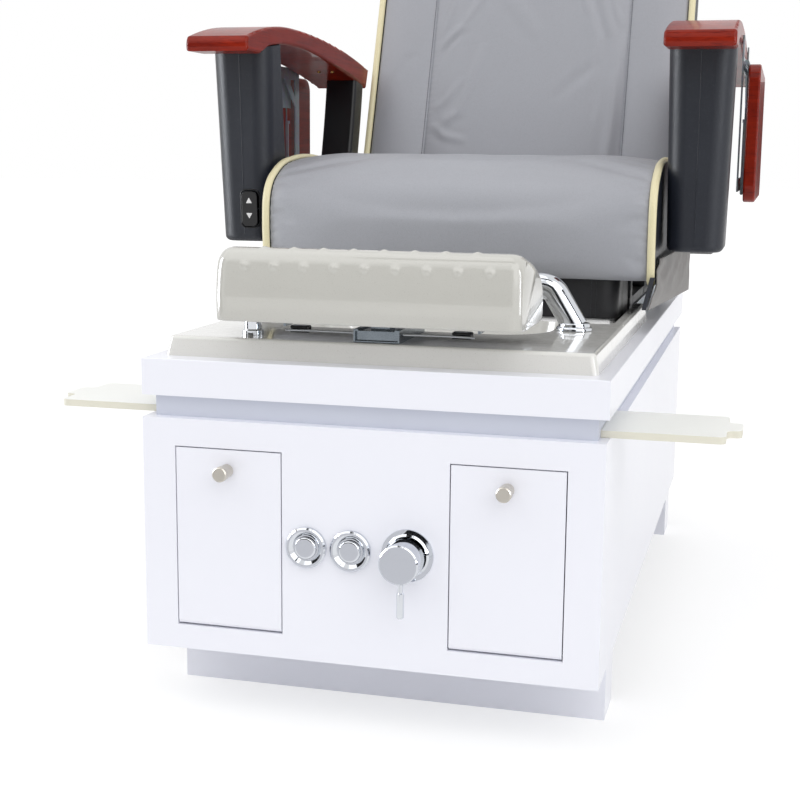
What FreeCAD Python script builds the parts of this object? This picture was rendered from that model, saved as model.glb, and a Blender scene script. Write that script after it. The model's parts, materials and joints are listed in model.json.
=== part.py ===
import FreeCAD, Part
import math
import os
import re

import Sketcher

# Pedicure bench: a boxed wooden base with a foot basin let into its top, a sliding reclining chair,
# lifting arms with folding side trays, a foot rest on a short rail and two pull-out side shelves.
# Millimetres. Origin: middle of the cabinet's footprint, on the floor. Front is -Y, up is +Z.

doc = FreeCAD.newDocument("PedicureBench")
sheet = doc.addObject("Spreadsheet::Sheet", "Sizes")

# Driving dimensions, in millimetres and degrees
SIZES = {
    # cabinet
    "slab_wide": 580.0, "slab_long": 1180.0, "slab_thick": 46.0, "slab_edge": 1.5,
    "band_high": 27.0, "band_inset": 12.0, "band_wall": 18.0, "shelf_bar": 10.0, "shelf_plate": 3.0,
    "case_inset": 2.0, "case_high": 296.5, "case_proud": 4.0, "case_short": 5.0,
    "board": 18.0, "floor_board": 16.0,
    "plinth_high": 82.5, "plinth_inset": 4.0, "plinth_deep": 75.0,
    "plinth_setback": 110.0, "rear_plinth_setback": 70.0, "bearer_wide": 75.0,
    "bearer_setback": 400.0,
    "vent_wide": 120.0, "vent_slot": 6.0, "vent_pitch": 16.0, "vent_rise": 150.0,
    "seat_gap": 0.3, "board_gap": 0.5, "overrun": 2.0,
    # doors
    "door_margin": 44.5, "door_high": 228.0, "door_thick": 12.0, "door_gap": 1.5,
    "control_half": 106.5, "door_sill": 32.5, "hinge_pin_dia": 4.0, "hinge_pin_long": 22.0,
    "pin_clear": 0.1, "bin_deep": 110.0, "bin_wall": 4.0,
    "knob_dia": 18.5, "knob_long": 30.0, "knob_drop": 25.0, "knob_neck_dia": 13.0,
    "knob_neck_long": 4.0, "knob_grip_long": 13.0, "knob_groove": 0.9, "knob_edge": 1.2,
    # air buttons and mixer
    "control_rise": 146.0, "button_left_x": -73.0, "button_right_x": -16.6,
    "bezel_dia": 51.0, "bezel_proud": 7.0, "bezel_lip": 2.0, "bezel_dish": 3.0, "bezel_ring": 4.5,
    "button_dia": 28.0, "button_proud": 8.5, "button_dome": 3.0, "button_travel": 3.5,
    "button_clear": 0.1, "shank_dia": 33.0, "shank_long": 26.0, "shank_clear": 0.2,
    "switch_body_dia": 44.0, "switch_body_long": 34.0, "switch_wall": 2.5, "button_stem_dia": 10.0,
    "mixer_x": 54.7, "plate_dia": 64.5, "plate_step_dia": 54.0, "plate_thick": 3.0,
    "plate_step": 2.5, "collar_dia": 24.0, "cap_dia": 48.0, "cap_back": 14.0, "cap_front": 46.0,
    "cap_wall": 3.0, "cap_pivot": 22.0, "cap_pin_dia": 5.0, "cap_bore_deep": 1.8, "cap_edge": 1.5,
    "lever_dia": 9.0, "lever_neck_dia": 6.0, "lever_neck_long": 14.0, "lever_long": 46.0,
    "valve_dia": 36.0, "valve_long": 56.0, "pipe_dia": 15.0,
    "pipe_spread": 36.0, "supply_end": 110.0, "drain_end": 42.0, "pipe_clear": 2.0,
    # basin
    "basin_wide": 544.0, "basin_long": 610.0, "basin_setback": 30.0, "rim_high": 25.0,
    "rim_draft": 5.0, "rim_edge": 5.0, "basin_corner": 8.0, "shell": 5.0,
    "bowl_wide": 370.0, "bowl_front": 175.0, "bowl_long": 295.0, "bowl_corner": 70.0,
    "bowl_floor_wide": 300.0, "bowl_floor_long": 215.0, "bowl_floor_corner": 55.0,
    "bowl_deep": 207.0, "bowl_slab_gap": 6.0,
    "well_setback": 335.0, "well_deep": 14.0, "well_lip": 14.0,
    "drain_dia": 44.0, "drain_flange_dia": 64.0, "drain_pipe_dia": 40.0,
    "drain_pipe_wall": 2.0, "stopper_dia": 56.0, "stopper_thick": 5.0, "stopper_stem_dia": 8.0,
    "stopper_stem_long": 30.0,
    "jet_dia": 84.0, "jet_thick": 9.0, "jet_neck_dia": 24.0, "jet_motor_dia": 70.0,
    "jet_motor_long": 85.0, "jet_rise": 95.0, "jet_gap": 1.2,
    "spout_x": 212.0, "spout_setback": 252.0, "spout_dia": 34.0, "spout_wall": 2.5,
    "spout_bend": 52.0, "spout_sweep": 150.0, "collar_high": 11.0, "collar_foot_dia": 44.0,
    "spout_foot": 1.5, "spout_spigot_dia": 22.0, "spout_spigot_long": 8.0,
    "drain_knob_x": -172.0, "drain_knob_setback": 78.0, "drain_knob_dia": 22.0,
    "drain_knob_high": 18.0, "drain_knob_grip": 11.0, "drain_knob_foot_dia": 27.0,
    # foot rest
    "rest_wide": 374.0, "rest_deep": 160.0, "rest_high": 87.0, "rest_clear": 26.0,
    "rest_setback": -12.0, "rest_draw": 0.09, "rail_wide": 58.0, "rail_high": 16.0,
    "rail_wall": 2.0, "rail_lip": 6.0, "rail_setback": 44.0, "rail_long": 126.0,
    "carriage_long": 52.0, "carriage_clear": 0.3, "carriage_neck": 24.0, "rod_dia": 6.0,
    "rod_long": 250.0, "rod_setback": 75.0, "rod_drop": 5.0, "lug_thick": 6.0, "lug_spread": 150.0,
    "lug_dia": 10.0, "rod_bracket": 14.0, "rod_bracket_thick": 3.0,
    # side shelves
    "shelf_setback": 33.0, "shelf_long": 137.0, "shelf_thick": 8.5, "shelf_reach": 129.0,
    "shelf_hold": 50.0, "shelf_tab": 17.0, "shelf_tab_long": 52.0,
    "shelf_side_gap": 2.0, "shelf_top_gap": 1.7,
    # chair base
    "track_wide": 30.0, "track_high": 20.0, "track_wall": 3.0, "track_offset": 235.0,
    "track_gap": 15.0, "chair_lap": 252.0, "track_long": 465.0, "runner_wide": 22.0, "runner_high": 20.0,
    "runner_lift": 14.0, "runner_setback": 216.0, "runner_long": 436.0,
    "cross_bar": 26.0, "cross_bar_high": 12.0, "cross_front_setback": 312.0,
    "cross_rear_lap": 40.0, "upright_wide": 24.0, "upright_setback": 222.0,
    "upright_lap": 206.0, "ear_thick": 6.0, "ear_offset": 262.0, "ear_lap": 148.0,
    "ear_long": 92.0, "ear_high": 577.0, "ear_foot_high": 500.0, "back_pin_long": 16.0,
    "back_pivot_lap": 80.0, "back_pivot_high": 545.0, "back_pin_dia": 12.0,
    "arm_pivot_lap": 135.0, "arm_pivot_high": 560.0, "arm_pin_dia": 18.0,
    "pan_thick": 12.7, "pan_bottom": 532.0, "pan_setback": 88.0, "pan_short": 111.0,
    "skirt_wide": 490.0, "skirt_setback": 83.0, "skirt_long": 131.0, "skirt_wall": 6.0,
    "skirt_corner": 25.0, "skirt_clear": 4.0, "skirt_top_gap": 0.3,
    # seat cushion
    "seat_wide": 570.0, "seat_setback": 49.0, "seat_back_gap": 20.0, "seat_high": 172.0,
    "seat_bottom": 533.0, "welt": 11.3, "welt_thick": 3.7, "welt_gap": 0.3, "seat_draw": 0.025,
    "seat_anchor": 312.0, "cheek_foot_setback": 102.0, "cheek_short": 133.0,
    "strip_foot": 488.0, "strip_foot_x": 281.5, "strip_thick": 6.1, "strip_foot_setback": 39.0,
    "strip_deep": 26.0, "strip_lean": 14.0,
    "cover_setback": 37.0, "cover_gap": 48.0, "cover_bottom": 487.0, "cover_drop": 7.0,
    "cover_foot_x": 288.0, "cover_edge": 3.0, "cover_rear_x": 320.0, "cover_high": 73.0,
    "cover_top_setback": 70.0,
    # back
    "recline_angle": 20.1, "back_wide": 593.0, "back_long": 800.0, "back_start": 60.0,
    "back_face": 42.0, "back_deep": 118.0, "back_corner": 150.0, "back_foot_corner": 30.0,
    "back_cushion_thick": 58.0, "back_draw": 16.0, "back_pillow_start": 595.0,
    "back_pillow_long": 190.0, "back_pillow_wide": 330.0, "back_pillow_proud": 34.0,
    "back_pillow_round": 16.0, "seam_offset": 181.0, "seam_deep": 4.0, "seam_wide": 6.0,
    "back_welt_set": 8.0, "back_plate_x": 250.0,
    "back_plate_thick": 6.0, "back_plate_wide": 44.0, "back_plate_long": 260.0, "shell_round": 38.0,
    "shell_wall": 6.0,
    # arms
    "arm_inner": 299.5, "arm_wide": 97.5, "arm_setback": 10.0, "arm_long": 632.0,
    "arm_low": 823.0, "arm_rise": 76.0, "arm_round": 5.0,
    "column_top_wide": 94.5, "column_foot_wide": 81.5, "column_top_deep": 67.0,
    "column_foot_deep": 100.0, "column_top_setback": 95.0, "column_foot_setback": 115.0,
    "column_foot_high": 566.0, "column_foot_shift": 6.0, "column_round": 26.0,
    "column_rear_round": 12.0, "column_foot_round": 9.0, "column_top_high": 866.0,
    "column_tongue": 12.0, "post_wide": 57.0, "post_deep": 52.0, "post_top_lean": 45.0,
    "post_top_high": 862.0, "post_waist_lean": 10.0, "post_waist_high": 705.0,
    "post_bow": 4.0, "post_boss": 22.0, "post_round": 6.0,
    # side trays
    "tray_long": 398.0, "tray_setback": 222.0, "tray_high": 204.0, "tray_thick": 18.0,
    "tray_round": 25.0, "tray_edge": 3.0, "tray_gap": 11.0, "tray_drop": 3.0, "tray_top_high": 840.0,
    "tray_pin_dia": 5.0, "knuckle_dia": 8.0, "knuckle_long": 22.0, "knuckle_gap": 0.5,
    "leaf_thick": 2.0, "leaf_high": 60.0,
    "bracket_thick": 2.2, "bracket_low": 192.0, "bracket_rise": 40.0, "bracket_setback": 252.0,
    "bracket_long": 250.0, "bracket_bar": 20.0,
    "stay_pivot": 85.0, "stay_long": 110.0, "stay_width": 5.0, "stay_thick": 4.0,
    "stay_pin_dia": 2.5, "stay_gap": 0.5, "ear_plate": 2.5, "ear_reach": 7.0,
    "gusset_long": 66.0, "gusset_drop": 58.0,
    # arm switch
    "rocker_wide": 26.0, "rocker_high": 54.0, "rocker_deep": 12.0, "rocker_proud": 4.0,
    "rocker_gap": 1.0, "rocker_z": 617.0, "rocker_x": 336.0, "rocker_corner": 8.0,
    "rocker_pin_dia": 3.0, "rocker_relief": 4.0,
}

for row, (alias, number) in enumerate(SIZES.items(), 1):
    sheet.set("A%d" % row, alias)
    sheet.set("B%d" % row, str(number))
    sheet.setAlias("B%d" % row, alias)
doc.recompute()

# Places that follow from the sizes
PLACES = {
    "front": "0 - slab_long/2",
    "case_front": "front - case_proud",
    "case_back": "slab_long/2 - case_short",
    "case_bottom": "plinth_high",
    "case_top": "case_bottom + case_high",
    "slab_bottom": "case_top + band_high",
    "slab_top": "slab_bottom + slab_thick",
    "deck_top": "slab_top + rim_high",
    "well_floor": "deck_top - well_deep",
    "bowl_bottom": "deck_top - bowl_deep",
    "bowl_middle": "front + bowl_front + bowl_long/2",
    "door_bottom": "case_bottom + door_sill",
    "hinge_y": "case_front + door_thick/2",
    "hinge_z": "door_bottom + door_thick/2",
    "control_z": "case_bottom + control_rise",
    "panel_rear": "case_front + board",
    "rest_bottom": "deck_top + rest_clear",
    "rod_y": "front + rod_setback",
    "rod_z": "rest_bottom - rod_drop",
    "track_bottom": "slab_top",
    "runner_bottom": "slab_top + runner_lift",
    "runner_top": "runner_bottom + runner_high",
    "pan_top": "pan_bottom + pan_thick",
    "band_side": "slab_wide/2 - band_inset - slab_edge",
    "case_wide": "slab_wide - 2*case_inset",
    "plinth_wide": "case_wide - 2*plinth_inset",
    "door_wide": "case_wide/2 - door_margin - control_half",
    "door_offset": "control_half + door_wide/2",
    "track_setback": "basin_setback + basin_long + track_gap",
    "chair_front": "front + basin_setback + basin_long - chair_lap",
    "runner_end": "runner_setback + runner_long",
    "upright_pitch": "runner_long - upright_lap",
    "cross_rear_setback": "runner_end - cross_rear_lap",
    "ear_setback": "runner_end - ear_lap",
    "back_pivot_setback": "runner_end - back_pivot_lap",
    "arm_pivot_setback": "runner_end - arm_pivot_lap",
    "seat_long": "back_pivot_setback - seat_setback - seat_back_gap",
    "pan_long": "seat_long - pan_short",
    "cheek_foot_long": "seat_long - cheek_short",
    "cover_long": "arm_pivot_setback - cover_setback - cover_gap",
    "back_y": "chair_front + back_pivot_setback",
    "arm_outer": "arm_inner + arm_wide",
    "pivot_y": "chair_front + arm_pivot_setback",
    "tray_x": "arm_outer + tray_gap",
    "tray_axis_x": "tray_x - knuckle_dia/2",
    "tray_axis_z": "tray_top_high + tray_drop",
}
WORD = re.compile(r"[A-Za-z_][A-Za-z_0-9]*")
NODES = {}
NEAR = 1e-3


def cells(text):
    """Text of an expression: derived places written out, each size pointed at its cell."""
    def swap(found):
        name = found.group(0)
        if name in PLACES:
            return "(" + cells(PLACES[name]) + ")"
        if name in SIZES:
            return "Sizes." + name
        return name
    return WORD.sub(swap, text)


def val(text):
    """Present value of an expression over the sheet."""
    answer = sheet.evalExpression(cells(text))
    return float(getattr(answer, "Value", answer))


def bind(thing, **sizes):
    for prop, text in sizes.items():
        thing.setExpression(prop, cells(text))


def place(thing, x="0", y="0", z="0"):
    thing.setExpression("Placement.Base.x", cells(x))
    thing.setExpression("Placement.Base.y", cells(y))
    thing.setExpression("Placement.Base.z", cells(z))


def node(thing, label):
    """Name a finished piece: its label is its file name."""
    thing.Label = label
    NODES[label] = thing
    return thing


def vec(x, y, z):
    return FreeCAD.Vector(x, y, z)


# Primitives, booleans and bodies bound to the sheet

def box(label, x0, x1, y0, y1, z0, z1):
    """Block between pairs of planes, each plane an expression."""
    block = doc.addObject("Part::Box", label)
    bind(block, Length="(%s) - (%s)" % (x1, x0), Width="(%s) - (%s)" % (y1, y0),
         Height="(%s) - (%s)" % (z1, z0))
    place(block, x0, y0, z0)
    return block


TURNS = {
    "X": FreeCAD.Rotation(FreeCAD.Vector(0, 1, 0), 90),
    "Y": FreeCAD.Rotation(FreeCAD.Vector(1, 0, 0), -90),
    "Z": FreeCAD.Rotation(),
}


def rod(label, axis, dia, long, x, y, z):
    """Cylinder that starts at x, y, z and runs along the named axis."""
    bar = doc.addObject("Part::Cylinder", label)
    bar.Placement = FreeCAD.Placement(FreeCAD.Vector(), TURNS[axis])
    bind(bar, Radius="(%s)/2" % dia, Height=long)
    place(bar, x, y, z)
    return bar


def join(label, pieces):
    whole = doc.addObject("Part::MultiFuse", label)
    whole.Shapes = pieces
    return whole


def group(label, pieces):
    """Separate solids that share one node."""
    bundle = doc.addObject("Part::Compound", label)
    bundle.Links = pieces
    return bundle


def cut(label, base, tools):
    """Base minus its tools, one after the other."""
    for number, tool in enumerate(tools):
        less = doc.addObject("Part::Cut", "%s_%d" % (label, number))
        less.Base = base
        less.Tool = tool
        base = less
    return base


def mirrored(label, source):
    """Left-hand copy of a right-hand piece."""
    other = doc.addObject("Part::Mirroring", label)
    other.Source = source
    other.Base = vec(0, 0, 0)
    other.Normal = vec(1, 0, 0)
    return other


def feature(label, shape):
    made = doc.addObject("Part::Feature", label)
    made.Shape = shape
    return made


def rounded_edges(label, base, radius, pick):
    """Round the edges of a finished block that pick(edge) chooses."""
    doc.recompute()
    size = val(radius)
    wanted = [(i, size, size) for i, e in enumerate(base.Shape.Edges, 1) if pick(e)]
    soft = doc.addObject("Part::Fillet", label)
    soft.Base = base
    soft.Edges = wanted
    return soft


def along(edge, axis):
    """True for a straight edge parallel to the axis."""
    if not isinstance(edge.Curve, Part.Line):
        return False
    return edge.Curve.Direction.cross(axis).Length < NEAR


def body(label):
    made = doc.addObject("PartDesign::Body", label)
    made.Label = label
    return made


def sketch(owner, role, offset="0"):
    """Sketch on one of the body's own origin planes."""
    plan = owner.newObject("Sketcher::SketchObject", owner.Label + "_sketch")
    plane = [f for f in owner.Origin.OriginFeatures if f.Role == role][0]
    plan.AttachmentSupport = (plane, [""])
    plan.MapMode = "FlatFace"
    plan.setExpression("AttachmentOffset.Base.z", cells(offset))
    return plan


def pin_point(plan, line, spot, x, y):
    """Hold a point of the sketch at x, y, both expressions."""
    for axis, root, kind, text in ((-2, -1, "DistanceX", x), (-1, -1, "DistanceY", y)):
        if text == "0":
            plan.addConstraint(Sketcher.Constraint("PointOnObject", line, spot, axis))
            continue
        rule = plan.addConstraint(Sketcher.Constraint(kind, root, 1, line, spot, val(text)))
        plan.setExpression("Constraints[%d]" % rule, cells(text))


def outline(plan, points):
    """Closed outline through points given as pairs of expressions."""
    spots = [vec(val(x), val(y), 0) for x, y in points]
    lines = []
    for start, stop in zip(spots, spots[1:] + spots[:1]):
        lines.append(plan.addGeometry(Part.LineSegment(start, stop), False))
    for this, after in zip(lines, lines[1:] + lines[:1]):
        plan.addConstraint(Sketcher.Constraint("Coincident", this, 2, after, 1))
    for line, (x, y) in zip(lines, points):
        pin_point(plan, line, 1, x, y)


def rectangle(plan, x0, x1, y0, y1):
    outline(plan, [(x0, y0), (x1, y0), (x1, y1), (x0, y1)])


def hole(plan, dia, x, y):
    ring = plan.addGeometry(Part.Circle(vec(val(x), val(y), 0), vec(0, 0, 1), val(dia)/2), False)
    pin_point(plan, ring, 3, x, y)
    rule = plan.addConstraint(Sketcher.Constraint("Diameter", ring, val(dia)))
    plan.setExpression("Constraints[%d]" % rule, cells(dia))


def pad(owner, plan, long, backwards=False):
    grown = owner.newObject("PartDesign::Pad", owner.Label + "_pad")
    grown.Profile = plan
    grown.Reversed = backwards
    grown.setExpression("Length", cells(long))
    plan.Visibility = False
    return grown


def pocket_both(owner, plan):
    """Cut the sketch through the whole body, both ways from its plane."""
    taken = owner.newObject("PartDesign::Pocket", owner.Label + "_pocket")
    taken.Profile = plan
    taken.Type = "ThroughAll"
    taken.Midplane = True
    return taken


def revolved(owner, plan):
    """Turn the sketch about its own vertical axis."""
    turned = owner.newObject("PartDesign::Revolution", owner.Label + "_turn")
    turned.Profile = plan
    turned.ReferenceAxis = (plan, ["V_Axis"])
    turned.Angle = 360
    return turned


def soften(owner, radius, pick):
    """Fillet the chosen edges of the body's last feature."""
    doc.recompute()
    base = owner.Tip
    names = ["Edge%d" % i for i, e in enumerate(base.Shape.Edges, 1) if pick(e)]
    soft = owner.newObject("PartDesign::Fillet", owner.Label + "_round")
    soft.Base = (base, names)
    soft.setExpression("Radius", cells(radius))
    return soft


def turned(label, role, points, x, y, z):
    """Body of revolution from one outline, set down at x, y, z."""
    made = body(label)
    plan = sketch(made, role)
    outline(plan, points)
    revolved(made, plan)
    place(made, x, y, z)
    return made


# Wires and solids for curved pieces

def round_rectangle(x0, x1, y0, y1, z, front_round, rear_round):
    """Closed wire in a level plane: a rectangle whose front and rear corners have their own radii."""
    f, r = front_round, rear_round
    s = 1 - math.sqrt(0.5)
    lines = [
        Part.makeLine(vec(x0 + f, y0, z), vec(x1 - f, y0, z)),
        Part.Arc(vec(x1 - f, y0, z), vec(x1 - f*s, y0 + f*s, z), vec(x1, y0 + f, z)).toShape(),
        Part.makeLine(vec(x1, y0 + f, z), vec(x1, y1 - r, z)),
        Part.Arc(vec(x1, y1 - r, z), vec(x1 - r*s, y1 - r*s, z), vec(x1 - r, y1, z)).toShape(),
        Part.makeLine(vec(x1 - r, y1, z), vec(x0 + r, y1, z)),
        Part.Arc(vec(x0 + r, y1, z), vec(x0 + r*s, y1 - r*s, z), vec(x0, y1 - r, z)).toShape(),
        Part.makeLine(vec(x0, y1 - r, z), vec(x0, y0 + f, z)),
        Part.Arc(vec(x0, y0 + f, z), vec(x0 + f*s, y0 + f*s, z), vec(x0 + f, y0, z)).toShape(),
    ]
    return Part.Wire(lines)


def side_wire(steps, x=0.0):
    """Closed wire in an upright fore-and-aft plane. A step is (y, z) for a straight run to that
    point, or (through_y, through_z, y, z) for an arc to it. The first step is the start."""
    edges = []
    here = vec(x, *steps[0][-2:])
    for step in steps[1:] + [steps[0][-2:]]:
        there = vec(x, *step[-2:])
        if len(step) == 4:
            edges.append(Part.Arc(here, vec(x, *step[:2]), there).toShape())
        elif here.distanceToPoint(there) > 1e-6:
            edges.append(Part.makeLine(here, there))
        here = there
    return Part.Wire(edges)


def share_steps(shares, y0, z0, long, high, mid_y, mid_z, scale=1.0):
    """Steps from an outline in shares of length and height, shrunk about mid_y, mid_z."""
    steps = []
    for share in shares:
        spots = []
        for a, b in zip(share[0::2], share[1::2]):
            spots.append(mid_y + scale*(y0 + a*long - mid_y))
            spots.append(mid_z + scale*(z0 + b*high - mid_z))
        steps.append(tuple(spots))
    return steps


def stations(half, shares):
    """Cross places and shrink shares of a pad's sections, the same at both ends."""
    ends = [(run*2*half, draw) for run, draw in shares]
    return [(run - half, draw) for run, draw in ends] + [(half - run, draw) for run, draw in ends[::-1]]


def slice_solid(wire, thick):
    """Plate between a wire's plane and the plane thick further along +X."""
    return Part.Face(wire).extrude(vec(thick, 0, 0))


# Cabinet: plinths, panels, the recessed shelf band and the top slab

def make_plinths():
    front = box("front_plinth", "0 - plinth_wide/2", "plinth_wide/2",
                "front + plinth_setback", "front + plinth_setback + plinth_deep", "0", "plinth_high")
    rear = box("rear_plinth", "0 - plinth_wide/2", "plinth_wide/2",
               "slab_long/2 - rear_plinth_setback - plinth_deep",
               "slab_long/2 - rear_plinth_setback", "0", "plinth_high")
    middle = box("bearer", "0 - bearer_wide/2", "bearer_wide/2", "front + bearer_setback",
                 "slab_long/2 - rear_plinth_setback - plinth_deep - board_gap", "0", "plinth_high")
    node(group("plinths", [front, rear, middle]), "plinths")


def door_pins(label, dia):
    """Short pins at the foot of both door openings, half in the panel and half in the door."""
    pins = []
    for side, sign in (("left", "-"), ("right", "+")):
        for end in ("-", "+"):
            middle = "0 %s door_offset %s door_wide/2" % (sign, end)
            pins.append(rod("%s_%s_%d" % (label, side, len(pins)), "X", dia, "hinge_pin_long",
                            middle + " - hinge_pin_long/2", "hinge_y", "hinge_z"))
    return pins


def make_cabinet_front():
    panel = box("front_board", "0 - case_wide/2", "case_wide/2", "case_front", "panel_rear",
                "case_bottom", "case_top")
    tools = []
    for side, sign in (("left", "-"), ("right", "+")):
        half = "door_wide/2 + door_gap"
        tools.append(box("opening_" + side, "0 %s door_offset - (%s)" % (sign, half),
                         "0 %s door_offset + (%s)" % (sign, half),
                         "case_front - overrun", "panel_rear + overrun",
                         "door_bottom - door_gap", "door_bottom + door_high + door_gap"))
    for place_x, dia in (("button_left_x", "shank_dia + 2*shank_clear"),
                         ("button_right_x", "shank_dia + 2*shank_clear"),
                         ("mixer_x", "collar_dia + 2*shank_clear")):
        tools.append(rod("hole_" + place_x, "Y", dia, "board + 2*overrun",
                         place_x, "case_front - overrun", "control_z"))
    tools += door_pins("pin_bore", "hinge_pin_dia")
    node(cut("front_panel", panel, tools), "cabinet_front")
    node(group("pins", door_pins("pin", "hinge_pin_dia")), "door_hinge_pins")


def make_cabinet_shell():
    sides = [box("side_%s" % s, "0 %s case_wide/2 - %s" % (s, first), "0 %s case_wide/2 + %s" % (s, last),
                 "panel_rear", "case_back - board", "case_bottom", "case_top")
             for s, first, last in (("-", "0", "board"), ("+", "board", "0"))]
    node(group("sides", sides), "cabinet_sides")

    back = body("back_board")
    plan = sketch(back, "XZ_Plane")
    rectangle(plan, "0 - case_wide/2", "case_wide/2", "0 - case_high/2", "case_high/2")
    pad(back, plan, "board", backwards=True)
    slot = sketch(back, "XZ_Plane")
    rectangle(slot, "0 - vent_wide/2", "vent_wide/2", "vent_rise/2 - case_high/4",
              "vent_rise/2 - case_high/4 + vent_slot")
    first = pocket_both(back, slot)
    row = back.newObject("PartDesign::LinearPattern", "vent_row")
    row.Originals = [first]
    row.Direction = (slot, ["V_Axis"])
    row.Mode = "Spacing"
    row.Occurrences = 5
    row.setExpression("Offset", cells("vent_pitch"))
    back.Tip = row
    place(back, "0", "case_back - board", "case_bottom + case_high/2")
    node(back, "cabinet_back")

    floor = box("floor_board_blank", "0 - case_wide/2 + board", "case_wide/2 - board",
                "panel_rear", "case_back - board", "case_bottom", "case_bottom + floor_board")
    holes = [rod("floor_drain", "Z", "drain_pipe_dia + 2*pipe_clear", "floor_board + 2*overrun",
                 "0", "bowl_middle", "case_bottom - overrun")]
    for number, sign in enumerate("-+"):
        holes.append(rod("floor_pipe_%d" % number, "Z", "pipe_dia + 2*pipe_clear",
                         "floor_board + 2*overrun", "mixer_x %s pipe_spread/2" % sign,
                         "panel_rear + valve_long/2", "case_bottom - overrun"))
    node(cut("floor", floor, holes), "cabinet_floor")

    bins = []
    for side, sign in (("left", "-"), ("right", "+")):
        half = "door_wide/2 + door_gap"
        outer = box("bin_%s_outer" % side, "0 %s door_offset - (%s) - bin_wall" % (sign, half),
                    "0 %s door_offset + (%s) + bin_wall" % (sign, half), "panel_rear",
                    "panel_rear + bin_deep", "door_bottom - door_gap - bin_wall",
                    "door_bottom + door_high + door_gap + bin_wall")
        inner = box("bin_%s_inner" % side, "0 %s door_offset - (%s)" % (sign, half),
                    "0 %s door_offset + (%s)" % (sign, half), "panel_rear - overrun",
                    "panel_rear + bin_deep - bin_wall", "door_bottom - door_gap",
                    "door_bottom + door_high + door_gap")
        bins.append(cut("bin_" + side, outer, [inner]))
    node(group("bins", bins), "door_bins")


def make_band():
    """Frame between case and slab, notched at both sides for the shelves, with their deck."""
    ring = body("band_ring")
    plan = sketch(ring, "XY_Plane")
    rectangle(plan, "0 - band_side", "band_side", "front + band_inset", "slab_long/2 - band_inset")
    rectangle(plan, "0 - band_side + band_wall", "band_side - band_wall",
              "front + band_inset + band_wall", "slab_long/2 - band_inset - band_wall")
    pad(ring, plan, "band_high")
    notch = sketch(ring, "YZ_Plane")
    rectangle(notch, "front + shelf_setback - shelf_side_gap",
              "front + shelf_setback + shelf_long + shelf_side_gap",
              "0 - overrun", "shelf_thick + shelf_top_gap")
    pocket_both(ring, notch)
    place(ring, "0", "0", "case_top")
    bar = box("shelf_stop_bar", "0 - band_side + band_wall", "band_side - band_wall",
              "front + shelf_setback + shelf_long + shelf_side_gap",
              "front + shelf_setback + shelf_long + shelf_side_gap + shelf_bar",
              "case_top", "slab_bottom")
    plate = box("shelf_deck", "0 - case_wide/2 + board + board_gap", "case_wide/2 - board - board_gap",
                "panel_rear + board_gap",
                "front + shelf_setback + shelf_long + shelf_side_gap + shelf_bar",
                "case_top - shelf_plate", "case_top")
    node(join("band", [ring, bar, plate]), "recess_band")


def make_slab():
    slab = body("slab")
    plan = sketch(slab, "XY_Plane")
    rectangle(plan, "0 - slab_wide/2", "slab_wide/2", "0 - slab_long/2", "slab_long/2")
    rectangle(plan, "0 - bowl_wide/2 - shell - bowl_slab_gap", "bowl_wide/2 + shell + bowl_slab_gap",
              "front + bowl_front - shell - bowl_slab_gap",
              "front + bowl_front + bowl_long + shell + bowl_slab_gap")
    hole(plan, "spout_spigot_dia + 2*pin_clear", "spout_x", "front + spout_setback")
    pad(slab, plan, "slab_thick")
    top = val("slab_thick")
    wide = val("slab_wide/2")
    long = val("slab_long/2")
    soften(slab, "slab_edge", lambda e: e.BoundBox.ZMin > top/2
           and (abs(abs(e.CenterOfMass.x) - wide) < 1e-3 or abs(abs(e.CenterOfMass.y) - long) < 1e-3))
    place(slab, "0", "0", "slab_bottom")
    node(slab, "top_slab")


def make_doors():
    for side, sign in (("left", "-"), ("right", "+")):
        door = body("door_blank_" + side)
        plan = sketch(door, "XZ_Plane")
        rectangle(plan, "0 - door_wide/2", "door_wide/2", "0", "door_high")
        pad(door, plan, "door_thick", backwards=True)
        bore = sketch(door, "YZ_Plane")
        hole(bore, "hinge_pin_dia + 2*pin_clear", "door_thick/2", "door_thick/2")
        pocket_both(door, bore)
        along_x = vec(1, 0, 0)
        soften(door, "door_thick/2 - seat_gap",
               lambda e: along(e, along_x) and e.BoundBox.ZMax < 1e-3)
        place(door, "0 %s door_offset" % sign, "case_front", "door_bottom")
        node(door, "door_" + side)

        grip = "knob_neck_long + knob_grip_long"
        knob = turned("knob_blank_" + side, "XY_Plane", [
            ("0", "0"), ("knob_neck_dia/2", "0"), ("knob_neck_dia/2", "0 - knob_neck_long"),
            ("knob_dia/2 - knob_groove", "0 - knob_neck_long"),
            ("knob_dia/2 - knob_groove", "0 - (%s)" % grip),
            ("knob_dia/2", "0 - (%s)" % grip),
            ("knob_dia/2", "knob_edge - knob_long"),
            ("knob_dia/2 - knob_edge", "0 - knob_long"), ("0", "0 - knob_long")],
            "0 %s door_offset" % sign, "case_front", "door_bottom + door_high - knob_drop")
        node(knob, "knob_" + side)


# Front controls: two air buttons and the single-lever mixer

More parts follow.
